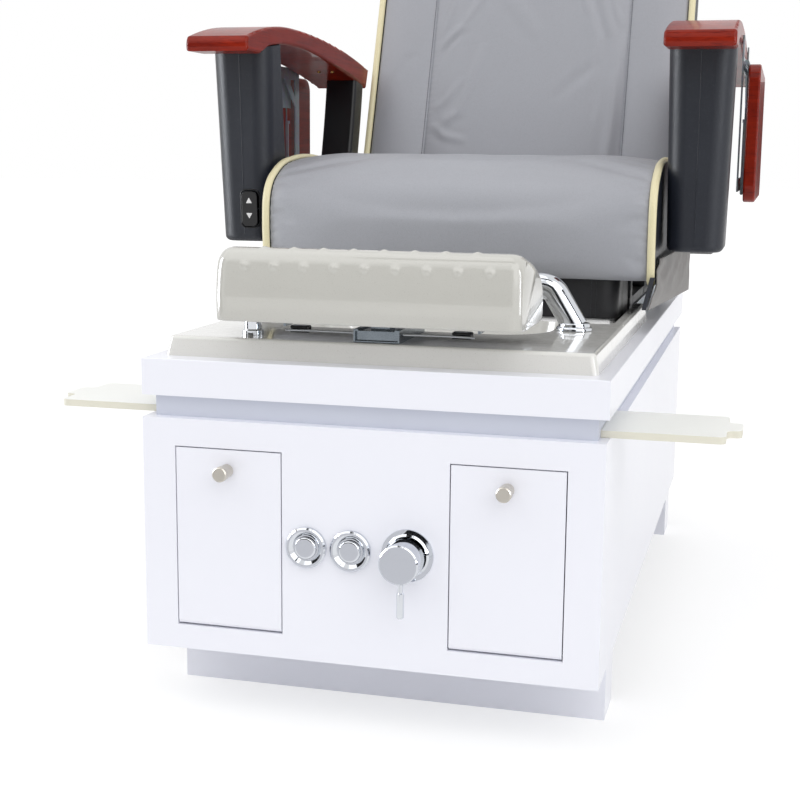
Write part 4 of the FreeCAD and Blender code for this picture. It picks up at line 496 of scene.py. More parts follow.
# %% Leatherette, plastic and wood
def make_leather(name, colour, size, gloss, depth, sheen, drift=0.03):
    """Coated leatherette: pebbled grain with painted shade in its creases, softly shining."""
    made = Finish(name, colour, drift, 5.0, gloss, 0.10,
                  {"Sheen Weight": sheen, "Sheen Roughness": 0.4, "Specular IOR Level": 0.45})
    grain = made.use(LEATHER, {"Scale": size})
    # The grain's creases are multiplied darker: painted shade.
    made.blend({"Fac": (grain, "Crease"), "Color2": (0.86, 0.86, 0.86, 1.0)}, blend_type="MULTIPLY")
    return made.bumped((grain, "Height"), depth, 0.6)


def make_moulded(name, colour, gloss, size, depth, glint_colour):
    """Moulded plastic: etched grain with paler specks that are painted glints, standing in for where it
    catches the light.
    """
    made = Finish(name, colour, 0.06, 7.0, gloss, 0.08, {"IOR": 1.47})
    grain = made.use(MOULDED, {"Scale": size})
    # These paler specks are painted glints: colour standing in for light caught by the etched skin.
    part = math_of(made.tree, "MULTIPLY", (grain, "Fleck_And_Glint"), 0.35)
    made.blend({"Fac": (part, 0), "Color2": linear(glint_colour)})
    return made.bumped((grain, "Height"), depth, 0.7)


def make_cherry():
    """Cherry-stained wood under thick gloss lacquer, with its figure running fore and aft."""
    made = Finish("cherry_lacquer", "8E2B18", 0.03, 8.0, 0.32, 0.05,
                  {"Coat Weight": 0.24, "Coat Roughness": 0.05, "Specular IOR Level": 0.12},
                  (0.25, 0.06, 1.6))
    figure = made.use(WOOD, {"Light": linear("9A250A"), "Dark": linear("651006")}, made.stretched)
    feed(made.shader, {"Base Color": (figure, "Color")})
    return made.bumped((figure, "Height"), 0.00005, 0.3)


# %% Make the finishes
FINISHES = {
    "cabinet_white": make_cabinet_white(),
    "cabinet_core": make_band_blue(),
    "basin_acrylic": make_acrylic("basin_gloss", "E2E1DD"),
    "foot_rest_acrylic": make_acrylic("foot_rest_gloss", "C4C3BD"),
    "chrome": make_metal("chrome_plate", "D4D7DC", gloss=0.05, marks=0.05, size=60.0, depth=0.00002,
                         drift=0.01),
    "brushed_nickel": make_metal("satin_nickel", "CBC6BC", gloss=0.27, marks=0.08, size=1600.0,
                                 depth=0.00004, stretch=(1, 0.03, 1)),
    "steel_frame": make_painted_steel(),
    "zinc_steel": make_zinc(),
    "grey_leather": make_leather("grey_leatherette", "A8AAB1", size=720.0, gloss=0.42, depth=0.00010,
                                 sheen=0.06),
    "black_leather": make_leather("black_leatherette", "17171B", size=600.0, gloss=0.36,
                                  depth=0.00016, sheen=0.05),
    "cream_piping": make_leather("cream_leatherette", "EFE6BE", size=900.0, gloss=0.36,
                                 depth=0.00006, sheen=0.05),
    "black_plastic": make_moulded("charcoal_plastic", "1E222C", gloss=0.36, size=900.0,
                                  depth=0.00014, glint_colour="5A5E68"),
    "black_gloss": make_moulded("gloss_black_plastic", "101013", gloss=0.12, size=300.0,
                                depth=0.00001, glint_colour="18181B"),
    "cherry_wood": make_cherry(),
    "frosted_shelf": make_frosted(),
    "white_pvc": make_moulded("white_pipe_plastic", "E4E4E1", gloss=0.38, size=700.0, depth=0.00005,
                              glint_colour="F4F4F2"),
}
OWN_FINISH = {
    "post": make_moulded("satin_black_plastic", "0E0F12", gloss=0.30, size=900.0, depth=0.00006,
                         glint_colour="2C2E33"),
    # The side covers' leatherette is a duller grey, and darker still as painted shade for where the covers
    # hang.
    "cover": make_leather("dull_grey_cover_painted_shade", "827F7D", size=620.0, gloss=0.50, depth=0.00014,
                          sheen=0.05, drift=0.06),
    "mark": make_moulded("white_print", "F4F4F4", gloss=0.45, size=700.0, depth=0.00001,
                         glint_colour="FFFFFF"),
    "footrest": make_metal("slide_steel", "868E95", gloss=0.20, marks=0.08, size=900.0,
                           depth=0.00004, stretch=(1, 0.05, 1)),
    "brass": make_metal("brass_plate", "C9A560", gloss=0.18, marks=0.06, size=400.0, depth=0.00002),
}
print("finishes:", len(FINISHES), "and", len(OWN_FINISH), "for single parts")

# %% [markdown]
# ## Dress the solids
# The hard parts keep the shape that the frame gives them. Each takes the finish of its own
# material slot, so the record and the picture agree. A few have a finish of their own, found by
# the first word of their name.

# %% Give every node its finish
SLOT_OF = {part["node"]: part["material_slot"] for part in frame["record"]["subparts"]}
for name, node in frame["nodes"].items():
    node.data.materials.clear()
    node.data.materials.append(OWN_FINISH.get(name.split("_")[0], FINISHES[SLOT_OF[name]]))
print("dressed:", len(SLOT_OF))

# %% [markdown]
# ## Mesh helpers
# Each new piece is worked out as arrays of points. A profile carried along a path covers most of
# them: cushions, piping and covers are one outline repeated at many stations.


# %% Faces of a grid
def grid_faces(rows, columns, closed=True):
    """Four-sided faces between neighbours of a grid; closed joins the last column to the first."""
    row = np.arange(rows - 1)[:, None]
    column = np.arange(columns if closed else columns - 1)[None, :]
    after = (column + 1) % columns
    corners = [row * columns + column, row * columns + after,
               (row + 1) * columns + after, (row + 1) * columns + column]
    return np.stack([c.ravel() for c in corners], 1).tolist()


def ladder(first, count):
    """Four-sided faces that close a loop of an even number of points, joining its two halves."""
    return [[first + i, first + i + 1, first + count - 2 - i, first + count - 1 - i]
            for i in range(count // 2 - 1)]


def tube_faces(rows, columns, ladders=False):
    """A closed grid's faces and its two ends, each one wide face or a ladder of quads."""
    last = (rows - 1) * columns
    if ladders:
        ends = ladder(0, columns) + ladder(last, columns)
    else:
        ends = [list(range(columns))[::-1], list(range(last, last + columns))]
    return grid_faces(rows, columns) + ends


# %% Pieces from arrays
def face_outwards(mesh):
    """Recalculates the normals of a closed mesh so that they point out."""
    work = bmesh.new()
    work.from_mesh(mesh)
    bmesh.ops.recalc_face_normals(work, faces=work.faces)
    work.to_mesh(mesh)
    work.free()


def add_mesh(name, points, faces, body, slot, angle=40.0, finish=None):
    """A smooth piece from arrays, outward faces, riding on a body with its slot's finish."""
    mesh = bpy.data.meshes.new(name)
    mesh.from_pydata(np.asarray(points, float).reshape(-1, 3).tolist(), [], faces)
    mesh.update()
    piece = put(name, mesh)
    mesh.materials.append(finish or FINISHES[slot])
    face_outwards(mesh)
    mesh.shade_smooth()
    mesh.set_sharp_from_angle(angle=math.radians(angle))
    print(name, "has", len(mesh.polygons), "faces")
    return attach(piece, body)


# %% Lines and profiles
ARC_STEPS = 40


def arc_points(start, through, stop, count):
    """Points on the circle through three points, from start to stop."""
    a, b, c = (complex(*p) for p in (start, through, stop))
    w = (c - a) / (b - a)
    if abs(w.imag) < 1e-9:
        share = np.linspace(0, 1, count)
        return np.outer(1 - share, start) + np.outer(share, stop)
    middle = (b - a) * (w - abs(w) ** 2) / (2j * w.imag) + a
    first, mid, last = (np.angle(p - middle) for p in (a, b, c))
    sweep = (last - first) % (2 * np.pi)
    if (mid - first) % (2 * np.pi) > sweep:
        sweep -= 2 * np.pi
    turn = first + np.linspace(0, 1, count) * sweep
    return np.stack([middle.real + abs(a - middle) * np.cos(turn),
                     middle.imag + abs(a - middle) * np.sin(turn)], 1)


def even_points(points, count, closed=False):
    """The same line with points spread evenly along its length."""
    points = np.asarray(points, float)
    length = np.concatenate([[0], np.cumsum(np.linalg.norm(np.diff(points, axis=0), axis=1))])
    wanted = np.linspace(0, length[-1], count + 1)[:-1] if closed else np.linspace(0, length[-1], count)
    return np.stack([np.interp(wanted, length, points[:, i]) for i in range(points.shape[1])], 1)


def closed_profile(shares, low, size, count):
    """Even points on a closed outline of runs and arcs given in shares of its box."""
    spots = [np.array(s).reshape(-1, 2) * size + low for s in shares]
    run = [spots[0][-1:]]
    for step in spots[1:] + [spots[0][-1:]]:
        start = run[-1][-1]
        if np.allclose(start, step[-1]):
            continue
        through = step[0] if len(step) == 2 else (start + step[-1]) / 2
        run.append(arc_points(start, through, step[-1], ARC_STEPS)[1:])
    return even_points(np.concatenate(run), count, True)


def softened(points, rounds):
    """A closed line averaged with its neighbours, which rounds its corners."""
    for _ in range(rounds):
        points = (np.roll(points, 1, 0) + 2 * points + np.roll(points, -1, 0)) / 4
    return points


def unit(points):
    """Vectors divided by their length."""
    return points / np.linalg.norm(points, axis=-1, keepdims=True).clip(1e-9)


def outward(points):
    """Unit normals of a closed flat line, pointing away from its middle."""
    along = np.roll(points, -1, 0) - np.roll(points, 1, 0)
    normal = unit(np.stack([along[:, 1], -along[:, 0]], 1))
    area = np.sum(points[:, 0] * np.roll(points[:, 1], -1) - np.roll(points[:, 0], -1) * points[:, 1])
    return normal if area > 0 else -normal


# %% A section along a path
def ring(count, wide, high):
    """An oval section of the given half sizes."""
    turn = np.linspace(0, 2 * np.pi, count, endpoint=False)
    return np.stack([wide * np.cos(turn), high * np.sin(turn)], 1)


def carried(path, side, out, section, closed):
    """A section of (side, out) offsets carried along a path: path + s*side + o*out."""
    points = (path[:, None, :] + section[None, :, :1] * side[:, None, :]
              + section[None, :, 1:] * out[:, None, :])
    rows, columns = points.shape[:2]
    if not closed:
        return points.reshape(-1, 3), tube_faces(rows, columns)
    last = (rows - 1) * columns
    join = [[last + i, last + (i + 1) % columns, (i + 1) % columns, i] for i in range(columns)]
    return points.reshape(-1, 3), grid_faces(rows, columns) + join


def across_width(x, flat):
    """Points in space from a place x across the width and flat (y, z) points for each x."""
    return np.concatenate([np.broadcast_to(x[:, None, None], (*flat.shape[:2], 1)), flat], 2)


# %% [markdown]
# ## Foot rest
# The foot rest is a moulded acrylic loaf with rows of small massage bumps on its top. It could be
# a block with a subdivision surface, but the bumps would then be separate balls. Here the surface
# is a grid, and each bump is a smooth rise of that same surface.

# %% Sizes of the foot rest
REST_SHARES = [(0.012, 0.0), (0.0, 0.45, 0.03, 0.80), (0.085, 0.965, 0.22, 1.0),
               (0.52, 0.885, 0.80, 0.70), (0.955, 0.46, 0.985, 0.18), (0.972, 0.05, 0.93, 0.0)]
REST_LOW = np.array((-0.602, 0.503))
REST_SIZE = np.array((0.160, 0.087))
REST_HALF = 0.187
REST_DRAW = 0.09  # how far the outline shrinks at its very end
END_RUN = 0.058  # the rounded part of an end, as a share of the width
END_POWER = 3.4  # larger makes the rounded end tighter
BUMP_ROWS = 5
BUMP_PITCH = 0.0373
BUMP_ROW_PITCH = 0.0285
BUMP_HIGH = 0.0023
BUMP_WIDE = 0.0076
BUMP_LEVEL = 0.5695  # height of the first row
BUMP_FRONT = 0.04  # the first row lies within this of the front


# %% Rounded ends
def end_draw(x, half):
    """How far a section has drawn in near an end: one at the end, none past the run."""
    share = (half - np.abs(x)) / (2 * half * END_RUN)
    return np.clip(1 - share, 0, 1) ** END_POWER


def end_spaced(half, inner, outer):
    """Stations across the width, closer together over the rounded ends."""
    edge = half * (1 - 2 * END_RUN)
    tip = half - (half - edge) * np.linspace(1, 0, outer) ** 1.6
    return np.concatenate([-tip[::-1], np.linspace(-edge, edge, inner)[1:-1], tip])


# %% Foot rest with bumps
def bump_lift(line, x):
    """Squared cosine bumps in staggered rows, by distance across and along the outline."""
    near = line[:, 0] < REST_LOW[0] + BUMP_FRONT
    first = np.argmin(np.where(near, np.abs(line[:, 1] - BUMP_LEVEL), 9))
    length = np.linalg.norm(np.diff(line, axis=0, append=line[:1]), axis=1).mean()
    direction = 1 if line[(first + 5) % len(line), 1] > line[first, 1] else -1
    lift = np.zeros((len(x), len(line)))
    for row in range(BUMP_ROWS):
        spot = line[(first + direction * round(row * BUMP_ROW_PITCH / length)) % len(line)]
        offset = 0.0 if row % 2 == 0 else BUMP_PITCH / 2
        middles = np.arange(-4 + (row % 2), 5) * BUMP_PITCH - offset
        away = np.linalg.norm(line - spot, axis=1)
        across = np.abs(x[:, None] - middles[None, :]).min(1)
        reach = np.hypot(across[:, None], away[None, :]) / BUMP_WIDE
        lift += BUMP_HIGH * np.where(reach < 1, np.cos(np.clip(reach, 0, 1) * np.pi / 2) ** 2, 0)
    return lift


def make_foot_rest():
    """Outline in y and z, shrunk towards its foot by the end draw, plus bumps along the normal."""
    line = softened(closed_profile(REST_SHARES, REST_LOW, REST_SIZE, 210), 3)
    x = end_spaced(REST_HALF, 150, 22)
    scale = 1 - REST_DRAW * end_draw(x, REST_HALF)
    foot = REST_LOW + REST_SIZE * (0.5, 0.0)
    points = across_width(x, foot + scale[:, None, None] * (line - foot))
    points[:, :, 1:] += bump_lift(line, x)[:, :, None] * outward(line)[None]
    piece = add_mesh("foot_rest_pad", points, tube_faces(*points.shape[:2]), "foot_rest",
                     "foot_rest_acrylic")
    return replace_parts(piece, "footrest")


make_foot_rest()

# %% [markdown]
# ## Cushions
# A cushion is foam pressed into a sewn cover. It could be shaped by hand, but Blender's cloth can
# inflate a closed mesh. So each cushion starts a little too small, is held where it is sewn or
# rests on its board, and swells in between. The result is applied to the mesh, and seams and
# stitches are added afterwards.


# %% Points of a piece
def points_of(piece):
    """The piece's points as an array."""
    found = np.empty(len(piece.data.vertices) * 3)
    piece.data.vertices.foreach_get("co", found)
    return found.reshape(-1, 3)


def move_points(piece, points):
    """Writes an array of points back to the piece."""
    piece.data.vertices.foreach_set("co", np.asarray(points, float).ravel())
    piece.data.update()


# %% Inflate a cushion
FOAM = {"quality": 4, "mass": 0.4, "tension_stiffness": 12.0, "compression_stiffness": 12.0,
        "shear_stiffness": 4.0, "bending_stiffness": 0.6, "use_pressure": True,
        "uniform_pressure_force": 4.0, "vertex_group_mass": "sewn"}
FOAM_FRAMES = 20


def inflate(piece, held, most):
    """Cloth pressure over 20 frames; a point that isn't held moves at most `most` metres."""
    scene = bpy.context.scene
    pins = piece.vertex_groups.new(name="sewn")
    pins.add(np.flatnonzero(held).tolist(), 1.0, "REPLACE")
    before = points_of(piece)
    cloth = piece.modifiers.new("foam", "CLOTH")
    for setting, value in FOAM.items():
        setattr(cloth.settings, setting, value)
    cloth.settings.effector_weights.gravity = 0.0
    cloth.point_cache.frame_end = FOAM_FRAMES
    for now in range(1, FOAM_FRAMES + 1):
        scene.frame_set(now)
    move = points_of(piece.evaluated_get(bpy.context.evaluated_depsgraph_get())) - before
    far = np.linalg.norm(move, axis=1, keepdims=True)
    move *= np.minimum(1, most / np.maximum(far, 1e-9))
    piece.modifiers.remove(cloth)
    move_points(piece, before + move)
    scene.frame_set(1)
    print(piece.name, "swelled by up to", round(float(far.max()) * 1000, 1), "mm")


def subdivide(piece):
    """Applies one level of subdivision."""
    smooth = piece.modifiers.new("smooth", "SUBSURF")
    smooth.levels = 1
    smooth.render_levels = 1
    solved = piece.evaluated_get(bpy.context.evaluated_depsgraph_get())
    mesh = bpy.data.meshes.new_from_object(solved)
    piece.modifiers.remove(smooth)
    piece.data = mesh
    mesh.shade_smooth()


# %% [markdown]
# ## Seat cushion
# The seat is one deep cushion whose cover runs over a rounded front and down over the frame. Its
# side outline has the arcs of the photograph and is carried across the width, because the
# photograph shows that outline clearly at the right end.

# %% Seat cushion
SEAT_SHARES = [(0.016, -0.020), (0.0, 0.28, 0.002, 0.581), (0.020, 0.709, 0.074, 0.837),
               (0.146, 0.924, 0.228, 0.965), (0.40, 0.995, 0.62, 0.935), (0.82, 0.845, 0.965, 0.735),
               (0.997, 0.68, 1.0, 0.60), (0.996, 0.45, 0.984, 0.335), (0.905, 0.285), (0.861, 0.070),
               (0.0646, 0.070), (0.0646, -0.072), (0.050, -0.077), (0.028, -0.060, 0.016, -0.020)]
SEAT_LOW = np.array((-0.153, 0.533))
SEAT_SIZE = np.array((0.503, 0.172))
SEAT_HALF = 0.2848
SEAT_DRAW = 0.025
SEAT_MIDDLE = np.array((0.110, 0.545))
SEAT_ROOM = 0.0046  # left all round for the swelling
SEAT_SWELL = 0.005
SEAT_SEWN = 0.002  # the sewn band at each end
SEAT_SAG, SEAT_RIPPLE, SEAT_PUCKER = 0.0006, 0.0003, 0.0007
PUCKER_REACH = 0.014
PUCKER_FROM = SEAT_LOW[1] + 0.03
BOARD_TOP = SEAT_LOW[1] + 0.30 * SEAT_SIZE[1]
BOARD_FRONT = -0.13


def seat_line(count, scale=1.0, rounds=3):
    """The seat's side outline, shrunk about a spot on its board."""
    line = softened(closed_profile(SEAT_SHARES, SEAT_LOW, SEAT_SIZE, count), rounds)
    return SEAT_MIDDLE + scale * (line - SEAT_MIDDLE)


def seat_folds(x, y, z):
    """Slow sines for the sag and a quick one, fading from each end, for the pull of the seam."""
    sag = SEAT_SAG * np.sin(17 * x + 3 * y) * np.sin(31 * z + 9 * x + 1)
    ripple = SEAT_RIPPLE * np.sin(61 * x - 40 * z)
    near_end = np.exp(-(SEAT_HALF - np.abs(x)) / PUCKER_REACH)
    pucker = SEAT_PUCKER * near_end * np.sin(430 * (y + z) + 4 * np.sin(60 * y)) * (z > PUCKER_FROM)
    return sag + ripple - SEAT_SAG + pucker


def make_seat_cushion():
    """The side outline carried across the width, drawn in at both ends, then inflated."""
    line = seat_line(200)
    inner = line - SEAT_ROOM * outward(line)
    x = end_spaced(SEAT_HALF, 88, 12)
    scale = 1 - SEAT_DRAW * end_draw(x, SEAT_HALF)
    points = across_width(x, SEAT_MIDDLE + scale[:, None, None] * (inner - SEAT_MIDDLE))
    faces = tube_faces(*points.shape[:2], ladders=True)
    piece = add_mesh("seat_pad", points, faces, "seat", "grey_leather")
    x, y, z = points_of(piece).T
    sewn = np.abs(x) > SEAT_HALF - SEAT_SEWN
    inflate(piece, sewn | ((z < BOARD_TOP) & (y > BOARD_FRONT)), SEAT_SWELL)
    subdivide(piece)
    spots = points_of(piece)
    away = (spots - (0, *SEAT_MIDDLE)) * (0, 1, 1)
    size = np.linalg.norm(away, axis=1, keepdims=True).clip(0.01)
    spots += seat_folds(*spots.T)[:, None] * away / size
    spots[:, 0] = np.clip(spots[:, 0], -SEAT_HALF, SEAT_HALF)
    move_points(piece, spots)
    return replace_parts(piece, "seat_cushion")


make_seat_cushion()

# %% [markdown]
# ## Piping
# Piping is a cord sewn into a strip of leatherette. A curve with a round bevel would do, but a
# small oval carried along the seam as a mesh keeps the same outline as the cushion itself. It
# ends where the seam runs under the board.

# %% Seat piping
WELT_X = 0.2903
WELT_SINK = 0.0022
WELT_RING = ring(14, 0.0058, 0.0043)
CHEEK_TOP = 0.5555  # the black cheek's foot takes the seam's place below this
CHEEK_RUN = (-0.101, 0.275)


def make_seat_piping():
    """An oval carried round each end of the seat, left open where the cheek's foot passes."""
    line = seat_line(420, 1 - SEAT_DRAW, 2)
    gap = (line[:, 1] < CHEEK_TOP) & (line[:, 0] > CHEEK_RUN[0]) & (line[:, 0] < CHEEK_RUN[1])
    start = int(np.flatnonzero(gap & ~np.roll(gap, -1))[0]) + 1
    kept = (start + np.arange((~gap).sum())) % len(line)
    normal = outward(line)[kept]
    line = line[kept] - WELT_SINK * normal
    out = np.column_stack([np.zeros(len(line)), normal])
    parts, faces = [], []
    for side in (-1.0, 1.0):
        path = np.column_stack([np.full(len(line), side * WELT_X), line])
        across = np.tile((side, 0.0, 0.0), (len(line), 1))
        points, quads = carried(path, across, out, WELT_RING, False)
        faces += [[i + len(points) * len(parts) for i in face] for face in quads]
        parts.append(points)
    piece = add_mesh("seat_welt", np.concatenate(parts), faces, "seat", "cream_piping", 70.0)
    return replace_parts(piece, "seat_piping")


make_seat_piping()

# %% [markdown]
# ## Back cushion
# The back is made lying down, with x across, u up the back and v towards the sitter, and then
# stood up and leant back. Two sewn seams split it into three panels, and a head pillow sits on
# top. A height for every (x, u) is simpler to shape than a block, because only one side shows.

# %% Sizes of the back
LEAN = math.radians(90 - 20.1)
BACK_UP = np.array((0.0, math.cos(LEAN), math.sin(LEAN)))
BACK_FOOT = np.array((0.0, 0.370, 0.545))
BACK_HALF = 0.2965
BACK_START = 0.060
BACK_END = 0.860
BACK_ROUND = 0.150
BACK_FACE = 0.042
BACK_BASE = -0.0157
BACK_ROOM = 0.0090  # left in front for the swelling
BACK_SWELL = 0.004
BACK_INSET = 0.0118
BACK_INNER = BACK_HALF - BACK_INSET
BACK_CORNER = 0.016  # radius of the front's edge
CORNER_SHARE = 0.35  # of that radius, what is there before the swelling
PANEL_CROWN = 0.0040
SEAM_X = 0.181
GROOVE_DEEP, GROOVE_WIDE = 0.0036, 0.0045
PILLOW = (0.160, 0.690, 0.090, 0.031)  # half width, middle, half height, how far proud


# %% Shape of the back
def stand_up(points):
    """Turns points from the lying frame by the lean about x, and moves them to the hinge."""
    x, u, v = points[..., 0], points[..., 1], points[..., 2]
    c, s = math.cos(LEAN), math.sin(LEAN)
    return np.stack([x + BACK_FOOT[0], u * c - v * s + BACK_FOOT[1], u * s + v * c + BACK_FOOT[2]], -1)


def back_width(u, inset=BACK_INSET):
    """Half width of the outline at height u: straight sides and two round top corners."""
    radius = BACK_ROUND - inset
    rise = np.clip(u - (BACK_END - BACK_ROUND), 0, radius)
    return BACK_HALF - BACK_ROUND + np.sqrt(np.maximum(radius ** 2 - rise ** 2, 0))


def edge_distance(x, u):
    """How far a place is from the nearest side, foot or top of the cushion."""
    return np.minimum(back_width(u) - np.abs(x), np.minimum(u - BACK_START, BACK_END - u) - BACK_INSET)


def pillow_height(x, u):
    """A loaf on the face: height times a root of one minus the fourth-power distance."""
    reach = ((x / PILLOW[0]) ** 4 + ((u - PILLOW[1]) / PILLOW[2]) ** 4) ** 0.25
    return PILLOW[3] * np.maximum(1 - reach ** 2, 0) ** 0.42


def seam_place(u):
    """Half the distance between the two sewn seams at height u."""
    return SEAM_X * back_width(u) / BACK_INNER


def back_height(x, u):
    """Front surface: face height, less the rounded edge and the seams, plus crowned panels."""
    left = BACK_CORNER - np.clip(edge_distance(x, u), 0, BACK_CORNER)
    fall = BACK_CORNER - np.sqrt(np.maximum(BACK_CORNER ** 2 - left ** 2, 0))
    seam = seam_place(u)
    inner = np.maximum(1 - (x / seam) ** 2, 0) ** 0.6
    share = np.clip((np.abs(x) - seam) / (back_width(u) - seam), 0, 1)
    crown = PANEL_CROWN * np.where(np.abs(x) < seam, inner, 4 * share * (1 - share))
    groove = GROOVE_DEEP * np.exp(-((np.abs(x) - seam) / GROOVE_WIDE) ** 2)
    return BACK_FACE - BACK_ROOM - CORNER_SHARE * fall + crown - groove + pillow_height(x, u)


# %% [markdown]
# ## Creases
# The photographed cover is pulled into long soft folds beside its seams. A cloth drape would give
# folds in other places, so each one is drawn as a bent line of (x, u) places, followed by half its
# width and its height. A height below nought is a dent.

# %% Creases
CREASES = [
    ([(-.177, .356), (-.151, .382), (-.122, .405), (-.097, .456), (-.080, .510)], .0075, .0024),
    ([(-.163, .326), (-.156, .358), (-.132, .389), (-.112, .417), (-.089, .456)], .0055, -.0012),
    ([(-.166, .385), (-.152, .433), (-.146, .457), (-.140, .510)], .0065, .0016),
    ([(-.160, .205), (-.143, .220), (-.118, .236), (-.0925, .326), (-.080, .370)], .0085, .0022),
    ([(-.166, .242), (-.140, .267), (-.113, .306)], .0065, .0014),
    ([(-.172, .214), (-.140, .189), (-.100, .180)], .0070, .0016),
    ([(.105, .520), (.116, .452), (.140, .378), (.1335, .290), (.126, .221)], .0085, -.0026),
    ([(.148, .500), (.155, .4395), (.170, .400)], .0065, .0020),
    ([(.174, .3835), (.1635, .297), (.162, .221), (.156, .110)], .0095, .0042),
    ([(.135, .334), (.091, .297), (.055, .257)], .0100, -.0014),
    ([(.090, .500), (.101, .452), (.112, .420)], .0065, .0016),
    ([(-.060, .480), (-.010, .420), (.020, .380)], .0120, .0010),
    ([(-.165, .540), (-.130, .560), (-.090, .568)], .0080, .0020),
    ([(.165, .545), (.130, .560), (.085, .566)], .0080, .0020),
    ([(-.240, .300), (-.225, .340), (-.205, .352)], .0080, -.0010),
]


def crease(x, u, path, wide, high):
    """A fold along a bent line: high times a bell of the distance, less its rims, faded at its ends."""
    path = np.array(path)
    steps = np.diff(path, axis=0)
    length = np.linalg.norm(steps, axis=1)
    done = np.concatenate([[0], np.cumsum(length)])
    best, along = np.full(x.shape, 9.0), np.zeros(x.shape)
    for start, step, size, before in zip(path[:-1], steps, length, done):
        share = np.clip(((x - start[0]) * step[0] + (u - start[1]) * step[1]) / size ** 2, 0, 1)
        away = np.hypot(x - start[0] - share * step[0], u - start[1] - share * step[1])
        along = np.where(away < best, before + share * size, along)
        best = np.minimum(away, best)
    fade = np.sin(np.pi * np.clip(along / done[-1], 0, 1)) ** 0.5
    return high * fade * (np.exp(-(best / wide) ** 2) - 0.4 * np.exp(-((best - 1.8 * wide) / wide) ** 2))


# %% Back cushion
SEWN_SEAM, SEWN_EDGE = 0.0025, 0.004  # half the sewn bands along a seam and an edge
PULL_DEEP, PULL_WIDE = 0.0008, 0.008
STITCH_DEEP, STITCH_WIDE = 0.0014, 0.0018
FACE_ROOM = 0.0003  # kept free below the solid's own face
FRONT_FROM = 0.012  # what is higher than this belongs to the front


def back_columns():
    """Shares of the half width, closer together at the seams and the edges."""
    seam = SEAM_X / BACK_INNER
    close = np.array([-0.0042, -0.0016, 0.0, 0.0016, 0.0042]) / BACK_INNER
    beside = 0.010 / BACK_INNER
    side = seam + beside + (1 - seam - beside) * np.linspace(0, 1, 17) ** 0.8
    middle = np.linspace(beside - seam, seam - beside, 58)
    return np.concatenate([-side[::-1], close - seam, middle, close + seam, side])


def back_start():
    """Rows across the back; each is a closed loop of front points, a side, rear points, a side."""
    top_run = 0.06
    u = np.concatenate([np.linspace(BACK_START + BACK_INSET, BACK_END - top_run, 118),
                        BACK_END - BACK_INSET - np.linspace(1, 0, 22)[1:] ** 1.7 * (top_run - BACK_INSET)])
    x = back_columns()[None, :] * back_width(u)[:, None]
    front = np.stack([x, np.broadcast_to(u[:, None], x.shape), back_height(x, u[:, None])], -1)
    rear = front[:, ::-1][:, ::3].copy()
    rear[..., 2] = BACK_BASE
    one, other = front[:, -1:].copy(), front[:, :1].copy()
    one[..., 2] = other[..., 2] = (one[..., 2] + BACK_BASE) / 2
    return np.concatenate([front, one, rear, other], 1)


def make_back_cushion():
    """The starting loops inflated, then folds, puckers and stitched seams up to a ceiling."""
    loop = back_start()
    faces = tube_faces(*loop.shape[:2], ladders=True)
    piece = add_mesh("back_pad", loop, faces, "back", "grey_leather")
    x, u, v = points_of(piece).T
    seam = np.abs(np.abs(x) - seam_place(u))
    inflate(piece, (seam < SEWN_SEAM) | (edge_distance(x, u) < SEWN_EDGE) | (v < 0.0), BACK_SWELL)
    subdivide(piece)
    spots = points_of(piece)
    x, u, v = spots.T
    seam = np.abs(np.abs(x) - seam_place(u))
    folds = sum(crease(x, u, *fold) for fold in CREASES)
    pull = -PULL_DEEP * np.exp(-seam / PULL_WIDE) * (0.5 + 0.5 * np.sin(546 * u + 2 * np.sin(37 * u)))
    stitched = -STITCH_DEEP * np.exp(-(seam / STITCH_WIDE) ** 2)
    ceiling = BACK_FACE - FACE_ROOM + pillow_height(x, u)
    spots[:, 2] = np.where(v > FRONT_FROM, np.minimum(v + folds + pull + stitched, ceiling), v)
    move_points(piece, stand_up(spots))
    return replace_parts(piece, "back_cushion")


back_pad = make_back_cushion()

# %% [markdown]
# ## Stitches
# A row of thread beside each seam shows that the panels are sewn. A texture could draw it, but a
# thread stands proud and catches light, so each stitch is a tiny spindle. Its place comes from a
# straight line that is shot at the finished cushion, so it lies on whatever the cushion became.


# %% Stitches
STITCH_RUN = (0.085, 0.845)
STITCH_PITCH = 0.0044
STITCH_BESIDE = 0.0030
THREAD_LIFT = 0.0001


def touch(piece, spots, way):
    """Where straight lines from the spots along way first meet a piece, and its normals there."""
    bpy.context.view_layer.update()
    found = [piece.ray_cast(Vector(s), Vector(way)) for s in spots]
    return np.array([f[1] for f in found]), np.array([f[2] for f in found])


def threads(name, spots, normals, way, long, thick, body, slot):
    """One little spindle per spot, laid along way: its radius is a root of one minus t squared."""
    along = np.tile(way, (len(spots), 1))
    along = unit(along - normals * np.sum(along * normals, 1, keepdims=True))
    t = np.linspace(-1, 1, 5)[None, :, None, None]
    turn = np.linspace(0, 2 * np.pi, 6, endpoint=False)[None, None, :, None]
    across = np.cross(along, normals)[:, None, None, :]
    size = thick * np.sqrt(1.06 - t ** 2)
    middles = spots + THREAD_LIFT * normals
    points = (middles[:, None, None, :] + t * long / 2 * along[:, None, None, :]
              + size * (np.cos(turn) * across + np.sin(turn) * normals[:, None, None, :]))
    faces = [[i + 30 * k for i in face] for k in range(len(spots)) for face in tube_faces(5, 6)]
    print(name, "holds", len(spots), "stitches")
    return add_mesh(name, points, faces, body, slot, 80.0)


def make_back_stitches():
    """Stitches evenly apart, just outside each seam, shot at the cushion from well before it."""
    u = np.arange(*STITCH_RUN, STITCH_PITCH)
    side = np.concatenate([seam_place(u) + STITCH_BESIDE, -seam_place(u) - STITCH_BESIDE])
    lying = np.stack([side, np.tile(u, 2), np.full(len(side), 0.2)], 1)
    spots, normals = touch(back_pad, stand_up(lying), (0.0, math.sin(LEAN), -math.cos(LEAN)))
    threads("back_stitches", spots, normals, BACK_UP, long=0.0032, thick=0.00070, body="back",
            slot="black_leather")


make_back_stitches()

